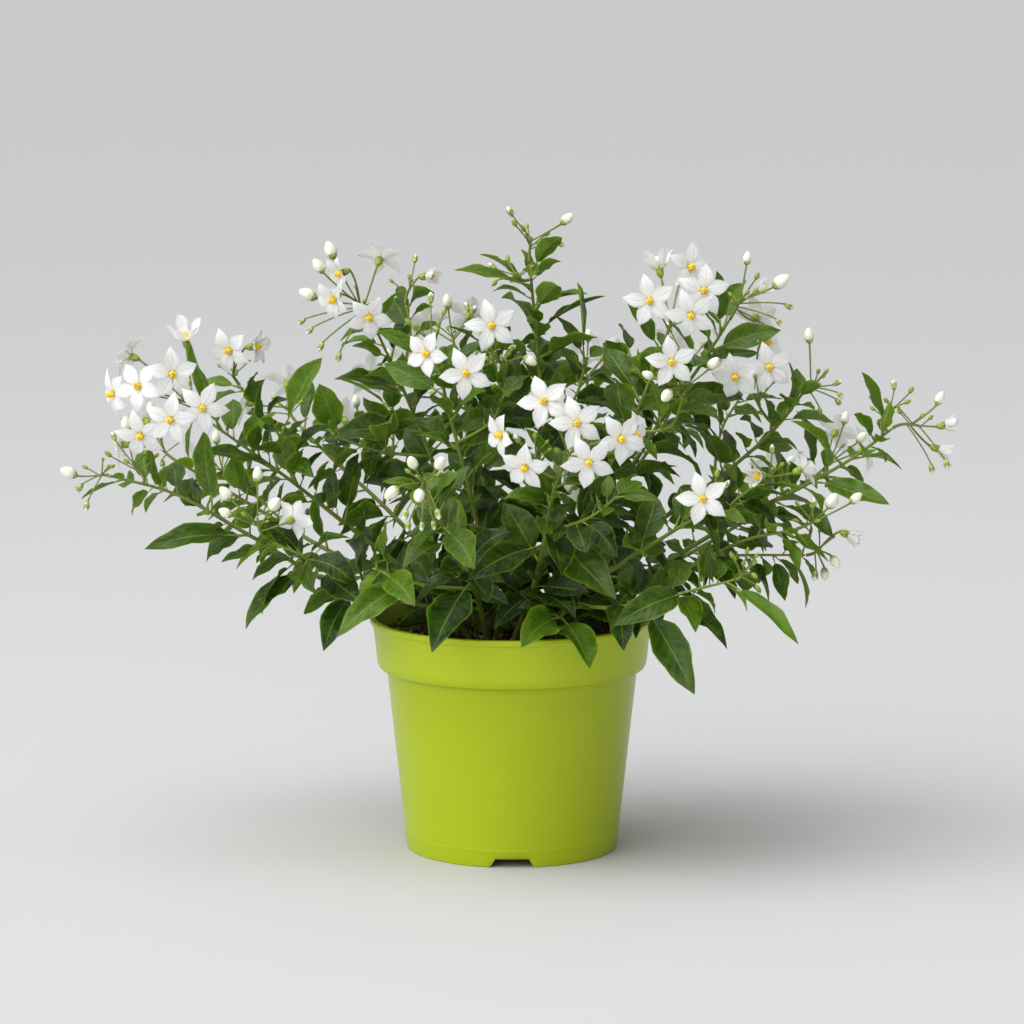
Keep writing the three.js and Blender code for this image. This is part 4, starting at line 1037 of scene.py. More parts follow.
def petal_material(white):
    """White petals with faint veins, a painted shade along the crease down each petal's middle, and a
    little green at the throat
    """
    def build(tree, shader):
        place = cell_of(tree, PETAL_COLUMNS, PETAL_BAND)
        off = calc(tree, "ABSOLUTE", place["Across"])
        fan = calc(tree, "SINE", calc(tree, "MULTIPLY", place["Across"], 17.0))
        streak = span(tree, fan, 0.35, 1.0)
        fade = span(tree, place["Along"], 0.5, 0.95, start=1.0, end=0.0)
        crease_and_shade = span(tree, off, 0.0, 0.16, start=1.0, end=0.0)
        blotch = mottled(tree, place, fine=3.0)
        colour = mixed(tree, calc(tree, "MULTIPLY", blotch, 0.3), white, linear(240, 241, 239))
        line = calc(tree, "MULTIPLY", calc(tree, "MULTIPLY", streak, fade), 0.2)
        colour = mixed(tree, line, colour, linear(206, 208, 206))
        # Painted shade: the crease down the middle of each petal is drawn grey, for the shade that
        # falls in it
        colour = mixed(tree, calc(tree, "MULTIPLY", crease_and_shade, 0.22), colour, linear(212, 214, 210))
        throat = span(tree, place["Along"], 0.04, 0.24, start=0.75, end=0.0)
        colour = mixed(tree, throat, colour, linear(214, 222, 150))
        fill(tree, shader.inputs["Base Color"], colour)
        shader.inputs["Roughness"].default_value = 0.55
        height = calc(tree, "SUBTRACT", calc(tree, "MULTIPLY", streak, -0.5), crease_and_shade)
        raised(tree, shader, height, strength=0.4, distance=0.0003)
        glow_through(shader, share=0.6, colour=(1.0, 0.98, 0.93), reach=0.0016)

    return material("petal", build)


def small_material(name, low, high, fine, streaks=0.0, glow=None, rough=0.5):
    """The anthers, calyxes, buds and stalks: two colours in blotches, or in streaks along them"""
    def build(tree, shader):
        place = cell_of(tree, SMALL_COLUMNS, SMALL_BAND)
        value = mottled(tree, place, fine)
        if streaks:
            fan = calc(tree, "SINE", calc(tree, "MULTIPLY", place["Across"], streaks))
            value = calc(tree, "MULTIPLY", value, span(tree, fan, -0.6, 0.8))
        fill(tree, shader.inputs["Base Color"], mixed(tree, value, low, high))
        shader.inputs["Roughness"].default_value = rough
        raised(tree, shader, value, strength=0.25, distance=0.0003)
        if glow:
            glow_through(shader, share=0.3, colour=glow)

    return material(name, build)


def blossom_looks(settings):
    """The materials of a spray, in the order of its slots"""
    return [
        petal_material(settings.petals),
        small_material("anther", linear(246, 186, 20), settings.anthers, fine=7.0),
        small_material("calyx", linear(110, 136, 28), linear(168, 184, 70), fine=3.0),
        small_material("bud_petal", linear(234, 236, 208), linear(253, 253, 242), fine=2.0,
                       streaks=6.0, glow=(1.0, 0.95, 0.8)),
        small_material("stalk", linear(92, 108, 34), linear(142, 156, 66), fine=5.0),
    ]


# Templates: small closed shapes whose points stand for places, copied and moved where they belong

class Templates:
    """The shapes that are copied many times, each made once"""

    def __init__(self):
        self.made = {}

    def get(self, name, build):
        """A template by its name"""
        if name not in self.made:
            bm = bmesh.new()
            uv = bm.loops.layers.uv.new(UV_MAP)
            build(bm, uv)
            for face in bm.faces:
                face.smooth = True
            mesh = bpy.data.meshes.new("template_" + name)
            bm.to_mesh(mesh)
            bm.free()
            self.made[name] = mesh
        return self.made[name]

    def clear(self):
        """Removes them all"""
        for mesh in self.made.values():
            bpy.data.meshes.remove(mesh)
        self.made.clear()


TEMPLATES = Templates()


def even_ends(share):
    """Rows that stand closer together near both ends"""
    return share - 0.09 * math.sin(2 * math.pi * share)


def lens(across, along, column, columns, bands, slots):
    """Two sheets joined at their rim. x is the share across, y the share along, z the side."""
    def build(bm, uv):
        bmesh.ops.create_grid(bm, x_segments=across, y_segments=along, size=1.0)
        top = bm.faces[:]
        whole = bm.verts[:] + bm.edges[:] + top
        copied = bmesh.ops.duplicate(bm, geom=whole)
        under = [g for g in copied["geom"] if isinstance(g, bmesh.types.BMFace)]
        bmesh.ops.reverse_faces(bm, faces=under)
        for faces, side in ((top, 1.0), (under, -1.0)):
            for vert in {v for face in faces for v in face.verts}:
                inner = abs(vert.co.x) < 0.999 and abs(vert.co.y) < 0.999
                vert.co.z = side if inner else 0.0
        for faces, band, slot in ((top, bands[0], slots[0]), (under, bands[1], slots[1])):
            for face in faces:
                face.material_index = slot
                for loop in face.loops:
                    place = (loop.vert.co.y + 1) / 2
                    u = (column + 0.5 + CELL_HALF * loop.vert.co.x) / columns
                    loop[uv].uv = (u, blended(*band, even_ends(place)))
        for vert in bm.verts:
            vert.co.y = even_ends((vert.co.y + 1) / 2)
        bmesh.ops.remove_doubles(bm, verts=bm.verts[:], dist=1e-4)
        for edge in bm.edges:
            if all(abs(vert.co.z) < 0.5 for vert in edge.verts):
                edge.smooth = False

    return build


def rod(sides, steps, part, band, slot):
    """A closed round rod. z is the share along it."""
    def build(bm, uv):
        bmesh.ops.create_cone(bm, cap_ends=True, cap_tris=False, segments=sides, radius1=1.0,
                              radius2=1.0, depth=1.0)
        for vert in bm.verts:
            vert.co.z += 0.5
        uprights = [e for e in bm.edges if abs(e.verts[0].co.z - e.verts[1].co.z) > 0.5]
        if steps > 1:
            bmesh.ops.subdivide_edges(bm, edges=uprights, cuts=steps - 1, use_grid_fill=True)
        for face in bm.faces:
            face.material_index = slot
            level = max(v.co.z for v in face.verts) - min(v.co.z for v in face.verts) < 1e-4
            for loop in face.loops:
                point = loop.vert.co
                turn = abs(math.atan2(point.y, point.x)) / math.pi
                along = 0.03 + 0.94 * (point.z + (0.03 * point.x if level else 0.0))
                loop[uv].uv = (blended(*part, along), blended(*band, turn))

    return build


def ball(sides, rings, part, band, slot):
    """A closed ball. z goes from -1 to 1."""
    def build(bm, uv):
        bmesh.ops.create_uvsphere(bm, u_segments=sides, v_segments=rings, radius=1.0)
        for face in bm.faces:
            face.material_index = slot
            for loop in face.loops:
                point = loop.vert.co
                turn = abs(math.atan2(point.y, point.x)) / math.pi if abs(point.z) < 0.999 else 0.5
                loop[uv].uv = (blended(*part, turn), blended(*band, (point.z + 1) / 2))

    return build


def copy_in(bm, template, move):
    """Adds a template to a mesh and moves each of its points"""
    first = len(bm.verts)
    bm.from_mesh(template)
    bm.verts.ensure_lookup_table()
    for vert in bm.verts[first:]:
        vert.co = move(*vert.co)


def run_tube(bm, template, steps, stations):
    """Adds a rod along stations, each a centre, two directions and a radius"""
    def move(x, y, z):
        centre, first, second, radius = stations[min(steps, max(0, round(z * steps)))]
        return centre + first * (x * radius) + second * (y * radius)

    copy_in(bm, template, move)


def stations_along(points, radii, near=None):
    """The stations of a tube through points. Each frame follows the one before it."""
    made = []
    for k, point in enumerate(points):
        before, after = points[max(0, k - 1)], points[min(len(points) - 1, k + 1)]
        direction = (after - before).normalized()
        first, second = frame_of(direction, near)
        near = first
        made.append((point, first, second, radii[k]))
    return made


def finished(name, bm, looks, solid):
    """Turns a mesh in mm into a shown piece of the body, in the place of a CAD solid"""
    mesh = bpy.data.meshes.new(name)
    bm.to_mesh(mesh)
    bm.free()
    mesh.transform(Matrix.Scale(MM, 4))
    for look in looks:
        mesh.materials.append(look)
    piece = bpy.data.objects.new(name, mesh)
    bpy.context.scene.collection.objects.link(piece)
    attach(piece, "root")
    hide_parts(solid)
    return piece


# Leaves

# The slots of a leafy stem's materials
TOP_SLOT, UNDER_SLOT, STEM_SLOT = range(3)

# A blade's outline: the powers of the shares from its base and from its tip, and their highest product
BASE_POWER = 0.66
TIP_POWER = 0.96
OUTLINE_PEAK = 0.3347

# How a shown blade departs from the plain one of its CAD solid, as shares of its half width
FOLD = 0.12
RIPPLE, RIPPLES = 0.13, 13
NICK, NICKS = 0.06, 17
TWIST, TWIST_SHARE = 0.45, 0.25
BOW = 0.16


def blade_width(share):
    """A blade's half width at a share of its length, as a share of the widest"""
    share = held(share)
    wide = share ** BASE_POWER * (1 - share) ** TIP_POWER / OUTLINE_PEAK
    return max(wide, 0.05 if share < 0.5 else 0.02)


def blade_frame(base, chord, roll, forward):
    """A leaf's side and face directions. It faces up and away from the middle of the pot."""
    outward = Vector((base.x, base.y, 0.0)).normalized()
    wanted = UP * 0.8 + outward * 0.6 - Vector((0.0, forward, 0.0))
    side = wanted.cross(chord).normalized()
    face = chord.cross(side).normalized()
    c, s = math.cos(roll), math.sin(roll)
    return side * c + face * s, face * c - side * s


class Leaf:
    """One leaf, in mm"""

    JOIN_REACH = 0.25
    # Steps across and along the blade, steps along the petiole, its sides and its radius
    FINE = (6, 14, 5, 6, 0.75)
    PLAIN = (4, 9, 3, 4, 0.5)

    def __init__(self, axis, share, chord, half, draw, look, curl=0.0, forward=0.0):
        self.axis = axis
        self.share = share
        self.base = axis.chain(share)
        self.chord = chord
        self.half = half
        self.droop, roll, self.wave = draw
        self.look = look
        self.offset = axis.at(share) - self.base
        self.side, self.face = blade_frame(self.base, chord, roll, forward)
        self.curl = curl

    def spine(self, s):
        """The middle line, from the stem at 0 to the tip at 1"""
        point = self.base + self.chord * s + UP * (self.droop * self.chord.length * s * (1 - s))
        return point + fading(self.offset, s, self.JOIN_REACH)

    def point(self, across, along, off=0.0):
        """A point of the blade, with both shares and how far it is off its middle sheet"""
        s = PETIOLE_SHARE + (1 - PETIOLE_SHARE) * along
        wide = blade_width(along)
        wave = self.wave + 2 * (s - WIDEST_SHARE) / (OUTER_SHARE - WIDEST_SHARE)
        lift = math.sin(wave) if across > 0 else math.cos(wave)
        out = abs(across)
        rise = self.half * ((EDGE_RISE + FOLD) * out * wide + EDGE_WAVE * lift * out * out * wide)
        ripple = math.sin(RIPPLES * along + 3 * self.wave + 2.5 * across)
        rise += self.half * RIPPLE * out * wide * ripple
        rise -= self.half * self.curl * along ** 3
        wide *= 1 + NICK * math.sin(NICKS * along + 5 * self.wave + 2 * across)
        turn = TWIST * math.sin(3.7 * self.wave) * (along - TWIST_SHARE)
        bow = BOW * math.cos(2.3 * self.wave) * math.sin(math.pi * along) * self.half
        side = self.side * math.cos(turn) + self.face * math.sin(turn)
        face = self.face * math.cos(turn) - self.side * math.sin(turn)
        return self.spine(s) + side * (across * self.half * wide + bow) + face * (rise + off)

    def add(self, bm, thick, fine):
        """Adds the blade and its petiole"""
        across, along, steps, sides, radius = self.FINE if fine else self.PLAIN
        blade = TEMPLATES.get(
            f"leaf_{fine}_{self.look}",
            lens(across, along, self.look, LEAF_COLUMNS, (LEAF_TOP, LEAF_UNDER),
                 (TOP_SLOT, UNDER_SLOT)),
        )
        copy_in(bm, blade, lambda x, y, z: self.point(x, y, z * thick / 2))
        start = -0.5 * self.axis.thick(self.share) / self.chord.length
        shares = [blended(start, PETIOLE_SHARE + 0.05, k / steps) for k in range(steps + 1)]
        radii = [blended(radius, 0.4 * radius, k / steps) for k in range(steps + 1)]
        stalk = TEMPLATES.get(f"petiole_{fine}", rod(sides, steps, PETIOLE_PART, STEM_BAND, STEM_SLOT))
        stations = stations_along([self.spine(s) for s in shares], radii, self.face)
        run_tube(bm, stalk, steps, stations)


def age_look(share, draw):
    """A leaf's look: dark and old low on its stem, light and young at its tip"""
    youth = 0.1 + 0.48 * share + 0.34 * (draw - 0.35)
    return min(LEAF_COLUMNS - 1, max(0, int(LEAF_COLUMNS * youth)))


def rule_leaf(axis, i, seed, attempt):
    """Leaf number i of an axis, at one of its tries. It stands as in the CAD."""
    first, number, size = axis.leaves
    draw = draws(seed)
    a, b, c, d, e = (draw() for _ in range(5))
    turn, lift, part = TRIES[attempt]
    share = first + (LAST_LEAF - first) * i / max(1, number - 1)
    tangent = axis.along(share)
    one, two = frame_of(tangent)
    angle = seed + i * GOLDEN_TURN + (a - 0.5) * 0.9 + turn
    chord = tangent * (0.5 - 0.25 * b)
    chord += one * (0.95 * math.cos(angle))
    chord += two * (0.95 * math.sin(angle))
    chord = (chord + UP * (0.1 + 0.35 * share - 0.5 * c * (1 - share) + lift)).normalized()
    reach = size * (1 - 0.34 * share) * (0.86 + 0.28 * b) * part
    shape = (0.1 + 0.22 * d, (e - 0.5) * 1.1, 2 * math.pi * a)
    look = age_look(share, draw())
    narrowed = 1 - 0.36 * held((share - 0.68) / 0.2)
    half = reach * (0.19 + 0.05 * c) * narrowed
    return Leaf(axis, share, chord * reach, half, shape, look, curl=0.9 * draw(), forward=0.25)


def tip_leaf(axes, tip, seed, attempt):
    """The leaf whose tip is known, at one of its tries. It stands as in the CAD."""
    place, x, y, z, half = tip
    axis, share = place_on(axes, place)
    draw = draws(seed)
    a, b, c = (draw() for _ in range(3))
    front, lift, part = TIP_TRIES[attempt]
    chord = (Vector((x, y - front, z + lift)) - axis.chain(share)) * part
    shape = (0.1 + 0.14 * a, (b - 0.5) * 0.7, 2 * math.pi * c)
    look = age_look(share, draw())
    return Leaf(axis, share, chord, half * 1.05, shape, look, curl=0.5 * draw(), forward=0.6)


def known_leaves(name, number):
    """The leaves that the CAD solid of a shoot has"""
    axes = AXES[name]
    points = cad_points("stem_" + name)
    chains = []
    for k, tip in enumerate(SHOOTS[name]["tips"]):
        seed = TIP_SEED + number * TIP_SEED_STEP + k
        chains.append([tip_leaf(axes, tip, seed, attempt) for attempt in range(len(TIP_TRIES))])
    for branch, axis in enumerate(axes):
        for i in range(axis.leaves[1]):
            seed = LEAF_SEED + number * SHOOT_SEED_STEP + branch * BRANCH_SEED_STEP + i
            chains.append([rule_leaf(axis, i, seed, attempt) for attempt in range(len(TRIES))])
    found = []
    for chain in chains:
        found += [leaf for leaf in chain if is_at(points, leaf.base + leaf.chord)][:1]
    return found


class Room:
    """What the small leaves stay clear of. Its sizes are in mm."""

    MARGIN = 0.6
    CELL = 6.5
    # The lowest level that a leaf may have, by its distance from the pot's middle line
    LOWEST = ((55, 101), (70, 111), (math.inf, 96))
    # The room around a flower, in front of it, and along the way from it to the camera
    AROUND = 10
    FRONT_DEPTH, FRONT_REACH = 16, 15
    SIGHT_REACH = 12.5
    TURNED_TO_CAMERA = 0.1

    def __init__(self, settings, flowers, camera):
        self.settings = settings
        self.flowers = flowers
        self.camera = camera
        self.low, self.high = (corner / MM for corner in CAD_BOX)
        self.taken = set()
        vertices, faces = [], []
        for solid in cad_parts.values():
            first = len(vertices)
            vertices += [v.co / MM for v in solid.data.vertices]
            faces += [[first + k for k in face.vertices] for face in solid.data.polygons]
        self.tree = BVHTree.FromPolygons(vertices, faces)

    def is_free(self, spot):
        """Whether a point is in the CAD box, above the pot and away from the solids"""
        for low, at, high in zip(self.low, spot, self.high):
            if not low + self.MARGIN < at < high - self.MARGIN:
                return False
        off = math.hypot(spot.x, spot.y)
        if spot.z < next(level for reach, level in self.LOWEST if off < reach):
            return False
        return self.tree.find_nearest(spot, self.settings.clearance / MM)[0] is None

    def hides(self, spot, centre, forward):
        """Whether a point is too near to a flower or in the way of its view"""
        away = spot - centre
        in_front = 0 < away.dot(forward) < self.FRONT_DEPTH
        if away.length < self.AROUND or (in_front and away.length < self.FRONT_REACH):
            return True
        sight = (self.camera - centre).normalized()
        if forward.dot(sight) > self.TURNED_TO_CAMERA and away.dot(sight) > 0:
            return (away - sight * away.dot(sight)).length < self.SIGHT_REACH
        return False

    def is_clear(self, leaf):
        """Whether a small leaf has room. If so, the cells that it goes through are taken."""
        spots = [leaf.spine(s) for s in (0.45, 0.7, 0.88, 1.0)]
        cells = {tuple(round(at / self.CELL) for at in spot) for spot in spots[:3]}
        spots += [leaf.point(x, 0.4) for x in (-1, 1)]
        if not all(self.is_free(spot) for spot in spots) or cells & self.taken:
            return False
        if any(self.hides(spot, *flower) for flower in self.flowers for spot in spots):
            return False
        self.taken |= cells
        return True


# The small leaves: how often each is tried, the first place of one on a main stem and on a side
# branch, and the last place
SMALL_TRIES = 7
SMALL_FIRST = 0.04
SMALL_FIRST_SIDE = 0.3
SMALL_LAST = 0.97


def small_leaves(name, number, room):
    """More leaves between those that the CAD solid has, to make the shoot as dense as it is"""
    settings = room.settings
    draw = draws(SMALL_LEAF_SEED + number)
    found = []
    for branch, axis in enumerate(AXES[name]):
        first = SMALL_FIRST_SIDE if branch else SMALL_FIRST
        steps = int(axis.length() / (settings.spacing / MM))
        for k in range(steps):
            share = blended(first, SMALL_LAST, (k + draw()) / steps)
            for _ in range(SMALL_TRIES):
                a, b, c, d, e = (draw() for _ in range(5))
                tangent = axis.along(share)
                one, two = frame_of(tangent)
                angle = k * GOLDEN_TURN + 6.3 * a
                chord = tangent * (0.6 - 0.4 * b) + one * math.cos(angle) + two * math.sin(angle)
                chord = (chord + UP * (0.45 - 0.6 * c)).normalized()
                reach = blended(settings.shortest, settings.longest, d) * (1 - 0.35 * share) / MM
                shape = (0.05 + 0.22 * e, (b - 0.5) * 1.2, 6.28 * c)
                half = reach * (0.19 + 0.06 * e)
                look = age_look(share, a)
                leaf = Leaf(axis, share, chord * reach, half, shape, look, curl=1.2 * c)
                if room.is_clear(leaf):
                    found.append(leaf)
                    break
    return found


# The steps along a stem above the soil, its sides and its part of the UV map's band
MAIN_STEM = (24, 9, MAIN_PART)
SIDE_STEM = (10, 7, SIDE_PART)
STEM_DEPTH = 12


def build_shoot(name, number, room, looks):
    """A leafy stem: its main stem, side branches and leaves"""
    bm = bmesh.new()
    bm.loops.layers.uv.new(UV_MAP)
    foot = SHOOTS[name]["foot"]
    for branch, axis in enumerate(AXES[name]):
        steps, sides, part = SIDE_STEM if branch else MAIN_STEM
        shares = [k / steps for k in range(steps + 1)]
        points = [axis.at(share) for share in shares]
        radii = [axis.slim(share) for share in shares]
        if not branch:
            buried = [Vector((*foot, SOIL_LEVEL - STEM_DEPTH)), Vector((*foot, SOIL_LEVEL))]
            points = buried + points
            radii = [radii[0]] * len(buried) + radii
            steps += len(buried)
        stem = TEMPLATES.get(f"stem_{steps}", rod(sides, steps, part, STEM_BAND, STEM_SLOT))
        run_tube(bm, stem, steps, stations_along(points, radii))
    thick = room.settings.blade / MM
    for leaf in known_leaves(name, number):
        leaf.add(bm, thick, fine=True)
    for leaf in small_leaves(name, number, room):
        leaf.add(bm, thick, fine=False)
    return finished("foliage_" + name, bm, looks, "stem_" + name)


# Flowers, buds and stalks

# The slots of a spray's materials
PETAL_SLOT, ANTHER_SLOT, CALYX_SLOT, BUD_SLOT, STALK_SLOT = range(5)


def facing(turn, rise):
    """The direction that a flower faces, from its turn and its rise in degrees"""
    t, r = math.radians(turn), math.radians(rise)
    return Vector((math.sin(t) * math.cos(r), -math.cos(t) * math.cos(r), math.sin(r)))


def stalk_curve(spray):
    """The start, bend and end of a spray's main stalk"""
    axis, share = place_on(AXES[spray["from"][0]], spray["from"][1])
    at_tip = share > TIP_PLACE
    share = 1.0 if at_tip else share
    end, tangent = axis.chain(share), axis.along(share)
    hub = Vector(spray["hub"])
    leave = tangent if at_tip else frame_of(tangent, (hub - end).normalized())[0]
    start = end + leave * (SEAT_GAP + (0.0 if at_tip else axis.thick(share)))
    bend = start + leave * (STALK_BEND * (start - hub).length)
    return start, bend, hub, axis.at(share) - end


def flower_shift(points, flower):
    """How far the CAD solid's flower is moved along the way it faces"""
    forward = facing(*flower[3:5])
    for shift in FLOWER_SHIFTS:
        if is_at(points, Vector(flower[:3]) + forward * (shift + ANTHER_LENGTH)):
            return shift
    return 0


def open_flowers():
    """The centre and facing of every open flower"""
    made = {}
    for name, spray in SPRAYS.items():
        points = cad_points("spray_" + name)
        for k, flower in enumerate(spray["flowers"]):
            forward = facing(*flower[3:5])
            made[name, k] = (Vector(flower[:3]) + forward * flower_shift(points, flower), forward)
    return made


PETAL_OUTLINE = ((0.0, 0.05), (0.15, 0.125), (0.3, 0.22), (0.44, 0.285), (0.56, 0.28), (0.7, 0.225),
                 (0.84, 0.13), (0.94, 0.055), (1.0, 0.012))


def petal_width(share):
    """A petal's half width at a share of its length, as a share of the flower's radius"""
    for (low, wide), (high, next_wide) in zip(PETAL_OUTLINE, PETAL_OUTLINE[1:]):
        if share <= high:
            return blended(wide, next_wide, (share - low) / (high - low))
    return PETAL_OUTLINE[-1][1]


# How a petal leaves the plane of its flower, as shares of the flower's radius
CLOSED_RISE = 0.85
ARCH = 0.08
TILT = 0.16
OVERLAP, UNDERLAP = 0.03, -0.01
TIP_DROP = 0.07
CUP, CUP_SPREAD = 0.16, 0.3
PETAL_TWIST = 0.45
PETAL_WAVE = 0.05

# A flower less open than this has its petals joined to a bell. The bell's foot takes up a share of
# each petal's length, and its radius is a share of the flower's.
BELL_OPENNESS = 0.5
BELL_FOOT = 0.3
BELL_RADIUS = 0.25
BELL_FLARE, BELL_DRAWN_IN = 1.6, 0.16
BELL_NARROW, BELL_WIDEST = 0.74, 0.7
BELL_RISE, BELL_SINK = 0.12, 0.03


class Corolla:
    """The five petals of a flower, a little fused where they meet. Sizes are in mm."""

    def __init__(self, centre, forward, seed, openness, size, settings):
        self.centre = centre
        self.forward = forward
        self.openness = openness
        self.radius = size * settings.radius / MM
        self.thick = settings.petal / MM
        self.draw = draws(seed)
        spin = 2 * math.pi * self.draw()
        one, two = frame_of(forward)
        self.across = one * math.cos(spin) + two * math.sin(spin)
        self.upward = two * math.cos(spin) - one * math.sin(spin)

    def bell(self, x, y, wide):
        """How far out and how wide a petal of a bell is at its shares across and along"""
        foot = 1 - max(0.0, 1 - y / BELL_FOOT) ** 2
        reach = BELL_RADIUS * foot + (BELL_FLARE * self.openness - BELL_DRAWN_IN) * y
        wide = min(BELL_NARROW * wide + max(0.0, BELL_FOOT - y), BELL_WIDEST * reach)
        return math.sqrt(reach ** 2 - (x * wide) ** 2), wide

    def point(self, k, out, side, shape, x, y, z):
        """A point of petal k, with the shares across and along it, and the side of its sheet"""
        tilt, twist, cup, wave = shape
        level = CLOSED_RISE * y * (1 - self.openness) + ARCH * math.sin(math.pi * y)
        lap = OVERLAP if k % 2 else UNDERLAP
        level += tilt * TILT * y * y + lap * min(1.0, 3 * y) - TIP_DROP * y ** 5
        wide = petal_width(y)
        level += (CUP + CUP_SPREAD * cup) * abs(x) * wide + twist * PETAL_TWIST * x * wide * y
        level += PETAL_WAVE * wave * math.sin(6 * y + 2 * x) * abs(x)
        reach = y * (0.35 + 0.65 * self.openness) * (1 - 0.03 * abs(x))
        if self.openness < BELL_OPENNESS:
            reach, wide = self.bell(x, y, wide)
            level += BELL_RISE * y * y - BELL_SINK
        point = self.centre + out * (self.radius * reach) + side * (x * wide * self.radius)
        return point + self.forward * (self.radius * level + z * self.thick / 2)

    def add(self, bm):
        """Adds the petals"""
        for k in range(PETALS):
            angle = 2 * math.pi * (k + 0.5) / PETALS
            shape = [self.draw() - 0.5 for _ in range(4)]
            out = self.across * math.cos(angle) + self.upward * math.sin(angle)
            side = self.upward * math.cos(angle) - self.across * math.sin(angle)
            column = int(self.draw() * PETAL_COLUMNS)
            petal = TEMPLATES.get(
                f"petal_{column}",
                lens(4, 8, column, PETAL_COLUMNS, (PETAL_BAND, PETAL_BAND), (PETAL_SLOT, PETAL_SLOT)),
            )
            copy_in(bm, petal, partial(self.point, k, out, side, shape))


# The anthers, in mm: where they begin, how long they are, how far out they lean and their half widths
ANTHER_FOOT = 0.3
ANTHER_REACH = 3.9
ANTHER_OUT, ANTHER_LEAN = 1.05, 0.3
ANTHER_HALF = (0.72, 0.78)


def add_anthers(bm, centre, forward):
    """Five anthers in a tight cone, and the style between them"""
    one, two = frame_of(forward)
    anther = TEMPLATES.get("anther", ball(7, 6, ANTHER_PART, SMALL_BAND, ANTHER_SLOT))

    def place(out, side, x, y, z):
        along = ANTHER_FOOT + (z + 1) / 2 * ANTHER_REACH
        lean = ANTHER_OUT - ANTHER_LEAN * (z + 1) / 2
        middle = centre + forward * along
        return middle + out * (lean + ANTHER_HALF[0] * x) + side * (ANTHER_HALF[1] * y)

    for k in range(PETALS):
        angle = 2 * math.pi * k / PETALS
        out = one * math.cos(angle) + two * math.sin(angle)
        side = two * math.cos(angle) - one * math.sin(angle)
        copy_in(bm, anther, partial(place, out, side))
    style = TEMPLATES.get("style", rod(5, 2, ANTHER_PART, SMALL_BAND, ANTHER_SLOT))
    tops = [centre + forward * along for along in (2.0, 3.6, ANTHER_LENGTH)]
    run_tube(bm, style, 2, stations_along(tops, [0.35, 0.3, 0.34], one))


# A calyx from its neck to its mouth: the heights and widths of its rings, and how its teeth stand out
CALYX_HEIGHTS = (-0.02, 0.25, 0.6, 0.85, 1.0)
CALYX_WIDTHS = (0.4, 0.75, 1.0, 1.0, 0.9)
TOOTH_RISE, TOOTH_DIP, TOOTH_FLARE = 0.42, 0.1, 0.14


def add_calyx(bm, neck, forward, length, radius):
    """A cup with five teeth"""
    one, two = frame_of(forward)
    mouth = len(CALYX_HEIGHTS) - 1
    cup = TEMPLATES.get("calyx", rod(10, mouth, CALYX_PART, SMALL_BAND, CALYX_SLOT))

    def move(x, y, z):
        ring = round(z * mouth)
        height, wide = CALYX_HEIGHTS[ring], CALYX_WIDTHS[ring] * radius
        if ring == mouth:
            tooth = math.cos(2.5 * (math.atan2(y, x) + 0.31)) ** 2
            height += TOOTH_RISE * tooth - TOOTH_DIP
            wide *= 1.0 + TOOTH_FLARE * tooth
        return neck + forward * (height * length) + (one * x + two * y) * wide

    copy_in(bm, cup, move)


def add_pedicel(bm, root, neck, arrive, low, high):
    """A thin curved stalk that arrives at a neck along a direction"""
    steps, bow = 6, 0.35
    bend = root.lerp(neck, 0.5).lerp(neck - arrive * (bow * (neck - root).length), 0.35)
    points = [bezier(root, bend, neck, k / steps)[0] for k in range(steps + 1)]
    radii = [blended(low, high, k / steps) for k in range(steps + 1)]
    stalk = TEMPLATES.get("pedicel", rod(6, steps, STALK_PART, SMALL_BAND, STALK_SLOT))
    run_tube(bm, stalk, steps, stations_along(points, radii))


# The lengths in mm from which on a bud is pale, and ripe
PALE_BUD = 4.8
RIPE_BUD = 6.4


def add_bud(bm, root, centre, reach, direction, low=0.35):
    """A closed bud in its calyx. A small one is mostly green."""
    ripe = reach >= RIPE_BUD
    pale = reach >= PALE_BUD
    reach *= 0.96 if ripe else 0.86
    neck = centre - direction * (reach / 2)
    add_pedicel(bm, root, neck, direction, low, 0.9 * STALK_RADIUS if ripe else 0.35)
    one, two = frame_of(direction)
    wide = reach * (0.325 if ripe else 0.28)
    slot, part = (BUD_SLOT, BUD_PART) if pale else (CALYX_SLOT, CALYX_PART)
    body = TEMPLATES.get(f"bud_{slot}", ball(9, 8, part, SMALL_BAND, slot))

    def move(x, y, z):
        taper = 1 - 0.22 * max(0.0, z) ** 2 - 0.1 * z
        ridge = 1 + 0.035 * math.cos(PETALS * math.atan2(y, x))
        return centre + direction * (z * reach / 2) + (one * x + two * y) * (wide * taper * ridge)

    copy_in(bm, body, move)
    cup = 0.36 if ripe else (0.62 if pale else 0.5)
    add_calyx(bm, neck, direction, reach * cup, wide * (0.86 if ripe else 1.02))


# A flower that is less open than this is shown as a bell, with an openness and a size of its own.
# One that faces up by more than the steep rise, in degrees, is the larger bell.
HALF_OPEN = 0.6
STEEP_RISE = 60
STEEP_BELL = (0.33, 1.1)
PLAIN_BELL = (0.24, 0.75)


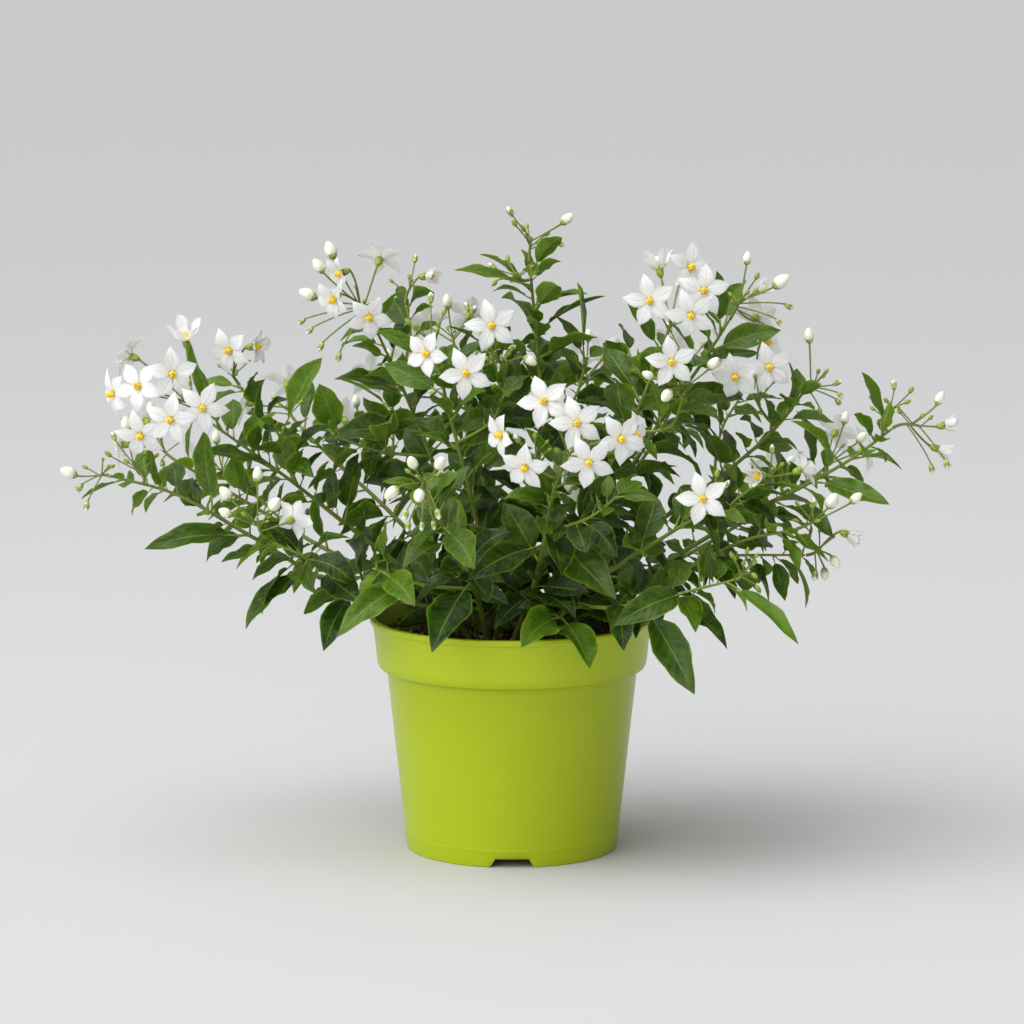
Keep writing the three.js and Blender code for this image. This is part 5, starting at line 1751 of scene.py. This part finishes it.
def build_spray(name, index, flowers, settings, looks):
    """A spray: its main stalk, its flowers and its buds"""
    spray = SPRAYS[name]
    bm = bmesh.new()
    bm.loops.layers.uv.new(UV_MAP)
    start, bend, hub, offset = stalk_curve(spray)

    def along_stalk(share):
        return bezier(start, bend, hub, share)[0] + fading(offset, share, 0.4)

    steps = 8
    shares = [k / steps for k in range(steps + 1)]
    main = TEMPLATES.get("main_stalk", rod(7, steps, STALK_PART, SMALL_BAND, STALK_SLOT))
    points = [along_stalk(share) for share in shares]
    radii = [blended(0.8, 0.6, share) for share in shares]
    run_tube(bm, main, steps, stations_along(points, radii))

    along = (hub - start).normalized()
    items = [("flower", k, Vector(f[:3])) for k, f in enumerate(spray["flowers"])]
    items += [("bud", k, Vector(b[:3])) for k, b in enumerate(spray["buds"])]
    items.sort(key=lambda item: item[2].dot(along))
    for order, (kind, k, centre) in enumerate(items):
        root = along_stalk(0.5 + 0.48 * (order + 0.5) / len(items))
        if kind == "flower":
            centre, forward = flowers[name, k]
            rise, openness = spray["flowers"][k][4:6]
            size = 1.0
            if openness < HALF_OPEN:
                openness, size = STEEP_BELL if rise > STEEP_RISE else PLAIN_BELL
            neck = centre - forward * CALYX_LENGTH
            add_pedicel(bm, root, neck, forward, 0.4, STALK_RADIUS)
            add_calyx(bm, neck, forward, length=3.4, radius=1.75)
            seed = FLOWER_SEED + index * SPRAY_SEED_STEP + k
            Corolla(centre, forward, seed, openness, size, settings).add(bm)
            add_anthers(bm, centre, forward)
        else:
            direction = (centre - hub).normalized()
            direction = (direction + UP * (0.3 if centre.z > hub.z else -0.4)).normalized()
            add_bud(bm, root, centre, spray["buds"][k][3], direction)
    add_young_buds(bm, spray, index, along_stalk, settings)
    return finished("blossom_" + name, bm, looks, "spray_" + name)


# The tiny green buds: how often each is tried, and its distance in mm from the CAD box's sides and
# from other buds and flowers
YOUNG_TRIES = 6
YOUNG_MARGIN = 3
YOUNG_ROOM = 6.5


def add_young_buds(bm, spray, index, along_stalk, settings):
    """Tiny green buds on thin stalks near the end of the main stalk"""
    draw = draws(YOUNG_BUD_SEED + index)
    low, high = (corner / MM for corner in CAD_BOX)
    taken = [Vector(item[:3]) for item in spray["flowers"] + spray["buds"]]
    for k in range(settings.young):
        for _ in range(YOUNG_TRIES):
            a, b, c, d = (draw() for _ in range(4))
            angle = k * GOLDEN_TURN + 5 * a
            root = along_stalk(0.55 + 0.43 * b)
            direction = Vector((math.cos(angle), math.sin(angle), 0.3 + 0.9 * c)).normalized()
            reach = 2.6 + 1.6 * d
            centre = root + direction * (6 + 6 * c)
            inside = all(lo + YOUNG_MARGIN < at < hi - YOUNG_MARGIN
                         for lo, at, hi in zip(low, centre, high))
            if inside and all((centre - other).length > YOUNG_ROOM for other in taken):
                taken.append(centre)
                add_bud(bm, root, centre, reach, direction, low=0.28)
                break


# The pot and the soil

def arc(corner, before, after, radius, steps=3):
    """The points that round a corner of a profile"""
    corner, before, after = (Vector((*p, 0.0)) for p in (corner, before, after))
    start = corner + (before - corner).normalized() * radius
    end = corner + (after - corner).normalized() * radius
    return [tuple(bezier(start, corner, end, k / steps)[0][:2]) for k in range(steps + 1)]


def rounded(profile):
    """A profile with its corners rounded by the radius that each point has"""
    made = []
    for k, (r, z, radius) in enumerate(profile):
        if radius and 0 < k < len(profile) - 1:
            made += arc((r, z), profile[k - 1][:2], profile[k + 1][:2], radius)
        else:
            made.append((r, z))
    return made


def spun(profile, steps, start=0.0):
    """A closed solid of revolution from a profile that begins and ends on the axis"""
    bm = bmesh.new()
    turn = Matrix.Rotation(start, 4, "Z")
    verts = [bm.verts.new(turn @ Vector((r, 0.0, z))) for r, z in profile]
    edges = [bm.edges.new(pair) for pair in zip(verts, verts[1:])]
    bmesh.ops.spin(bm, geom=verts + edges, cent=(0.0, 0.0, 0.0), axis=(0.0, 0.0, 1.0),
                   dvec=(0.0, 0.0, 0.0), angle=2 * math.pi, steps=steps, use_merge=True,
                   use_normal_flip=False, use_duplicate=False)
    bmesh.ops.remove_doubles(bm, verts=bm.verts[:], dist=1e-3)
    bmesh.ops.recalc_face_normals(bm, faces=bm.faces[:])
    for face in bm.faces:
        face.smooth = True
    return bm


def repacked(bm):
    """The same mesh without the gaps that removed points leave, so that new points come last"""
    mesh = bpy.data.meshes.new("repacked")
    bm.to_mesh(mesh)
    bm.free()
    made = bmesh.new()
    made.from_mesh(mesh)
    bpy.data.meshes.remove(mesh)
    return made


SHARP_ANGLE = 32


def sharpen(bm):
    """Keeps the edges sharp whose faces meet at more than the sharp angle"""
    for edge in bm.edges:
        if len(edge.link_faces) == 2 and edge.calc_face_angle(0.0) > math.radians(SHARP_ANGLE):
            edge.smooth = False


# The pot's section: each point's distance from the middle line, its level and the radius of its corner
POT_PROFILE = (
    (0, FLOOR_UNDERSIDE, 0), (41, FLOOR_UNDERSIDE, 0.5), (42.4, 0, 0.5), (48.3, 0, 0.7),
    (49.06, 6.8, 0.15), (49.22, 7.2, 0.15), (49.3, 8.1, 0.15), (49.22, 8.6, 0.15),
    (57.25, 82.2, 0.5), (57.9, 83.3, 0.3), (60.9, 84.3, 0.6), (61.7, 86.4, 0.8), (63.5, 103.6, 0.5),
    (64.7, 104.3, 0.4), (65, 105.0, 0.25), (65, 106.7, 0.5), (64.3, 107, 0.3), (62.5, 107, 0.5),
    (60.1, 85.6, 1.4), (55.9, 81.4, 1.4), (46.9, 6.2, 0.7), (0, 6.1, 0),
)

# A notch: half its width in degrees, the foot ring's points that it lifts, and the level of its roof
NOTCH_HALF = 9.5
NOTCH_LEVEL = 4.5
NOTCH_INNER = 41.2
NOTCH_ROOF, NOTCH_ROOF_SLOPE = 4.0, 0.12

# The painted highlight on the collar begins between these levels, in metres, and its lighter colour is
# mixed in by this share: the collar is the same plastic as the body, drawn lighter for the light that
# falls on it
COLLAR_HIGHLIGHT_LEVELS = (0.083, 0.09)
COLLAR_HIGHLIGHT_SHARE = 0.55


def plastic_material(settings):
    """Lime green plastic with soft blotches and a fine grain, and a painted highlight that makes the
    collar lighter
    """
    def build(tree, shader):
        grain = grouped(tree, grain_group(), **{"Coarse Scale": 26.0, "Fine Scale": 900.0})
        darker = calc(tree, "MULTIPLY", grain["Coarse"], 0.22)
        colour = mixed(tree, darker, settings.plastic, linear(156, 173, 1))
        place = node(tree, "ShaderNodeTexCoord").outputs["Object"]
        height = node(tree, "ShaderNodeSeparateXYZ", Vector=place).outputs["Z"]
        # Painted highlight: the collar is drawn lighter towards its own colour, for the light that
        # falls on it
        painted_highlight = span(tree, height, *COLLAR_HIGHLIGHT_LEVELS, end=COLLAR_HIGHLIGHT_SHARE)
        fill(tree, shader.inputs["Base Color"], mixed(tree, painted_highlight, colour, settings.collar))
        duller = calc(tree, "ADD", calc(tree, "MULTIPLY", grain["Coarse"], 0.08), 0.29)
        fill(tree, shader.inputs["Roughness"], duller)
        raised(tree, shader, grain["Fine"], strength=0.06, distance=0.0002)
        shader.inputs["Specular IOR Level"].default_value = 0.36

    return material("lime_plastic", build)


def drain_cutter():
    """The six drain holes as a solid to cut with"""
    bm = bmesh.new()
    for k in range(DRAIN_HOLES):
        angle = k * 2 * math.pi / DRAIN_HOLES + DRAIN_TURN
        x, y = DRAIN_CIRCLE * math.cos(angle), DRAIN_CIRCLE * math.sin(angle)
        bmesh.ops.create_cone(bm, cap_ends=True, cap_tris=False, segments=24,
                              radius1=DRAIN_RADIUS, radius2=DRAIN_RADIUS, depth=6.0,
                              matrix=Matrix.Translation((x, y, FLOOR_UNDERSIDE)))
    for face in bm.faces:
        face.smooth = True
    sharpen(bm)
    mesh = bpy.data.meshes.new("drill")
    bm.to_mesh(mesh)
    bm.free()
    mesh.transform(Matrix.Scale(MM, 4))
    cutter = bpy.data.objects.new("drill", mesh)
    bpy.context.scene.collection.objects.link(cutter)
    return cutter


def cut_out(piece, cutter):
    """Cuts a solid out of a piece for good, and removes the solid"""
    cut = piece.modifiers.new("cut", "BOOLEAN")
    cut.operation = "DIFFERENCE"
    cut.solver = "EXACT"
    cut.object = cutter
    graph = bpy.context.evaluated_depsgraph_get()
    plain = piece.data
    piece.data = bpy.data.meshes.new_from_object(piece.evaluated_get(graph))
    piece.data.name = piece.name
    piece.modifiers.clear()
    bpy.data.meshes.remove(plain)
    mesh = cutter.data
    bpy.data.objects.remove(cutter)
    bpy.data.meshes.remove(mesh)


def build_pot(settings):
    """The pot: a spun wall and floor, three notches in its foot and six drain holes"""
    bm = spun(rounded(POT_PROFILE), settings.steps, -math.pi / 2)
    for vert in bm.verts:
        azimuth = math.degrees(math.atan2(vert.co.y, vert.co.x))
        away = min(abs((azimuth - notch + 180) % 360 - 180) for notch in NOTCH_AZIMUTHS)
        in_ring = vert.co.z < NOTCH_LEVEL and math.hypot(vert.co.x, vert.co.y) > NOTCH_INNER
        if away < NOTCH_HALF and in_ring:
            vert.co.z = NOTCH_ROOF + NOTCH_ROOF_SLOPE * vert.co.z
    sharpen(bm)
    pot = finished("nursery_pot", bm, [plastic_material(settings)], "pot")
    cut_out(pot, drain_cutter())
    return pot


def earth_material(name, low, high, rough):
    """Soil or a crumb of it, in two colours"""
    def build(tree, shader):
        grain = grouped(tree, grain_group(), **{"Coarse Scale": 180.0, "Fine Scale": 900.0})
        fill(tree, shader.inputs["Base Color"], mixed(tree, grain["Coarse"], low, high))
        shader.inputs["Roughness"].default_value = rough
        height = calc(tree, "ADD", grain["Coarse"], calc(tree, "MULTIPLY", grain["Fine"], 0.5))
        raised(tree, shader, height, strength=0.8, distance=0.0012)

    return material(name, build)


# The soil's section up to its rim, its middle, and the steps around it
SOIL_SECTION = ((0, 6.4), (46.2, 6.4), (55.2, 81.2), (60.9, 98.5))
SOIL_MIDDLE = (0, 97.6)
SOIL_STEPS = 96

# Its plain top, how high it is heaped at the wall, and where the heap begins and how wide it is
SOIL_LOW = 97.2
SOIL_HEAP = 2.8
HEAP_START, HEAP_WIDTH = 38, 20

# The level above which it is bumpy, and the size and height of its coarse and fine bumps
BUMPY_LEVEL = 96.5
BUMP_SCALES = (0.11, 3.1)
BUMP_HEIGHTS = (0.8, 0.5)

# How far out the crumbs lie, how many are soil, and how many of the others are bark
CRUMB_REACH = 58
SOIL_SHARE = 0.5
BARK_SHARE = 0.86
SOIL_SLOT, BARK_SLOT, STONE_SLOT = range(3)


def soil_level(out):
    """How high the soil is at a distance from the middle. It is heaped a little at the wall."""
    share = held((out - HEAP_START) / HEAP_WIDTH)
    return SOIL_LOW + SOIL_HEAP * share * share * (3 - 2 * share)


def build_soil(settings):
    """The soil: a bumpy disc with loose crumbs of soil, bark and white stone"""
    rings = [(r, soil_level(r)) for r in range(57, 2, -3)]
    bm = spun([*SOIL_SECTION, *rings, SOIL_MIDDLE], SOIL_STEPS)
    for vert in bm.verts:
        if vert.co.z > BUMPY_LEVEL:
            spot = vert.co * BUMP_SCALES[0]
            coarse, fine = noise.noise(spot), noise.noise(spot * BUMP_SCALES[1])
            vert.co.z += BUMP_HEIGHTS[0] * coarse + BUMP_HEIGHTS[1] * fine
    bm = repacked(bm)
    crumb = bmesh.new()
    bmesh.ops.create_icosphere(crumb, subdivisions=1, radius=1.0)
    mesh = bpy.data.meshes.new("crumb")
    crumb.to_mesh(mesh)
    crumb.free()

    def place(centre, turn, size, stretch, x, y, z):
        return centre + turn @ Vector((x * stretch.x, y * stretch.y, z * stretch.z)) * size

    draw = draws(CRUMB_SEED)
    for _ in range(settings.crumbs):
        out, angle = CRUMB_REACH * math.sqrt(draw()), 2 * math.pi * draw()
        size = settings.crumb_size / MM * (0.22 + 0.28 * draw() ** 2)
        turn = Euler([6.28 * draw() for _ in range(3)]).to_matrix()
        level = soil_level(out) + 0.3 + 0.4 * size
        centre = Vector((out * math.cos(angle), out * math.sin(angle), level))
        stretch = Vector((1.0, 0.55 + 0.4 * draw(), 0.5 + 0.4 * draw()))
        first = len(bm.faces)
        copy_in(bm, mesh, partial(place, centre, turn, size, stretch))
        bm.faces.ensure_lookup_table()
        if draw() < SOIL_SHARE:
            kind = SOIL_SLOT
        else:
            kind = BARK_SLOT if draw() < BARK_SHARE else STONE_SLOT
        for face in bm.faces[first:]:
            face.material_index = kind
    bpy.data.meshes.remove(mesh)
    looks = [
        earth_material("soil", linear(36, 26, 12), settings.soil, rough=0.95),
        earth_material("bark", linear(134, 98, 56), linear(196, 156, 98), rough=0.85),
        earth_material("stone", linear(196, 192, 182), linear(226, 224, 216), rough=0.8),
    ]
    return finished("soil_top", bm, looks, "soil")


# The stage

def floor_material(grey):
    """A plain pale floor"""
    def build(tree, shader):
        shader.inputs["Base Color"].default_value = grey
        shader.inputs["Roughness"].default_value = 0.6
        shader.inputs["Specular IOR Level"].default_value = 0.22

    return material("floor", build)


# The level in metres that the camera looks at, and its sensor's width in mm
CAMERA_TARGET = 0.155
SENSOR = 36


def camera_place(settings):
    """Where the camera is, in metres"""
    back = settings.distance * math.cos(settings.pitch)
    up = CAMERA_TARGET + settings.distance * math.sin(settings.pitch)
    return Vector((0.0, -back, up))


# The soft suns: each one's strength, how it is turned, and how wide it is, in degrees
SUNS = {
    "sky": (1.02, (16, 0, -70), 110),
    "key": (1.85, (51, 0, -66), 64),
    "fill": (0.65, (76, 0, -15), 50),
}

# The softbox over the plant, in metres and watts
SOFTBOX_PLACE = (-0.3, -0.4, 1.9)
SOFTBOX_TARGET = (0.0, 0.0, 0.16)
SOFTBOX_SIDE = 1.3
SOFTBOX_POWER = 13


def lamp(name, data, turn, place=(0.0, 0.0, 3.0)):
    """Puts a light into the scene. It shines along its own way down."""
    made = bpy.data.objects.new(name, data)
    made.location = place
    made.rotation_euler = turn
    bpy.context.scene.collection.objects.link(made)


def build_lights():
    """The pale surroundings, the soft suns and the softbox"""
    world = bpy.data.worlds.new("studio")
    world.use_nodes = True
    back = world.node_tree.nodes["Background"]
    back.inputs["Color"].default_value = (0.98, 0.99, 1.0, 1.0)
    back.inputs["Strength"].default_value = 0.3
    bpy.context.scene.world = world
    for name, (power, turn, size) in SUNS.items():
        sun = bpy.data.lights.new(name, "SUN")
        sun.energy = power
        sun.angle = math.radians(size)
        lamp(name, sun, [math.radians(a) for a in turn])
    box = bpy.data.lights.new("top", "AREA")
    box.energy = SOFTBOX_POWER
    box.shape = "RECTANGLE"
    box.size = box.size_y = SOFTBOX_SIDE
    way = Vector(SOFTBOX_TARGET) - Vector(SOFTBOX_PLACE)
    lamp("top", box, way.to_track_quat("-Z", "Y").to_euler(), SOFTBOX_PLACE)


def build_stage(settings):
    """The floor, the lights and the camera"""
    bm = bmesh.new()
    bmesh.ops.create_circle(bm, cap_ends=True, segments=64, radius=settings.floor)
    mesh = bpy.data.meshes.new("floor")
    bm.to_mesh(mesh)
    bm.free()
    mesh.materials.append(floor_material(settings.grey))
    floor = bpy.data.objects.new("floor", mesh)
    bpy.context.scene.collection.objects.link(floor)

    build_lights()

    data = bpy.data.cameras.new("camera")
    data.lens = settings.focal
    data.sensor_width = SENSOR
    data.clip_end = 200
    camera = bpy.data.objects.new("camera", data)
    camera.location = camera_place(settings)
    camera.rotation_euler = (math.pi / 2 - settings.pitch, 0.0, 0.0)
    bpy.context.scene.collection.objects.link(camera)
    bpy.context.scene.camera = camera
    bpy.context.scene.view_settings.view_transform = "Standard"


# Operators and panel

class VINE_OT_pot(bpy.types.Operator):
    """Builds the pot"""

    bl_idname = "vine.pot"
    bl_label = "Pot"

    def execute(self, context):
        build_pot(context.scene.vine_pot)
        return {"FINISHED"}


class VINE_OT_soil(bpy.types.Operator):
    """Builds the soil and its crumbs"""

    bl_idname = "vine.soil"
    bl_label = "Soil"

    def execute(self, context):
        build_soil(context.scene.vine_pot)
        return {"FINISHED"}


class VINE_OT_foliage(bpy.types.Operator):
    """Builds the leafy stems"""

    bl_idname = "vine.foliage"
    bl_label = "Foliage"

    def execute(self, context):
        scene = context.scene
        flowers = list(open_flowers().values())
        room = Room(scene.vine_foliage, flowers, camera_place(scene.vine_stage) / MM)
        looks = foliage_looks(scene.vine_foliage)
        for number, name in enumerate(SHOOTS):
            build_shoot(name, number, room, looks)
        TEMPLATES.clear()
        return {"FINISHED"}


class VINE_OT_blossom(bpy.types.Operator):
    """Builds the sprays of flowers and buds"""

    bl_idname = "vine.blossom"
    bl_label = "Blossom"

    def execute(self, context):
        flowers = open_flowers()
        looks = blossom_looks(context.scene.vine_blossom)
        for index, name in enumerate(SPRAYS):
            build_spray(name, index, flowers, context.scene.vine_blossom, looks)
        TEMPLATES.clear()
        return {"FINISHED"}


class VINE_OT_stage(bpy.types.Operator):
    """Builds the floor, the lights and the camera"""

    bl_idname = "vine.stage"
    bl_label = "Stage"

    def execute(self, context):
        build_stage(context.scene.vine_stage)
        return {"FINISHED"}


OPERATORS = (VINE_OT_pot, VINE_OT_soil, VINE_OT_foliage, VINE_OT_blossom, VINE_OT_stage)
SETTINGS = {
    "vine_pot": PotSettings,
    "vine_foliage": FoliageSettings,
    "vine_blossom": BlossomSettings,
    "vine_stage": StageSettings,
}


class VINE_PT_panel(bpy.types.Panel):
    """The steps and the settings of the vine"""

    bl_label = "Potted Potato Vine"
    bl_idname = "VINE_PT_panel"
    bl_space_type = "VIEW_3D"
    bl_region_type = "UI"
    bl_category = "Vine"

    def draw(self, context):
        for operator in OPERATORS:
            self.layout.operator(operator.bl_idname)
        for name, kind in SETTINGS.items():
            box = self.layout.box()
            for prop in kind.__annotations__:
                box.prop(getattr(context.scene, name), prop)


def register():
    """Registers the settings, the operators and the panel"""
    for kind in (*SETTINGS.values(), *OPERATORS, VINE_PT_panel):
        bpy.utils.register_class(kind)
    for name, kind in SETTINGS.items():
        setattr(bpy.types.Scene, name, bpy.props.PointerProperty(type=kind))


def unregister():
    """Removes what register added"""
    for name in SETTINGS:
        delattr(bpy.types.Scene, name)
    for kind in reversed((*SETTINGS.values(), *OPERATORS, VINE_PT_panel)):
        bpy.utils.unregister_class(kind)


def main():
    """Builds every piece"""
    register()
    bpy.ops.vine.pot()
    bpy.ops.vine.soil()
    bpy.ops.vine.foliage()
    bpy.ops.vine.blossom()
    bpy.ops.vine.stage()
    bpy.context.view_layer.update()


if __name__ == "__main__":
    main()
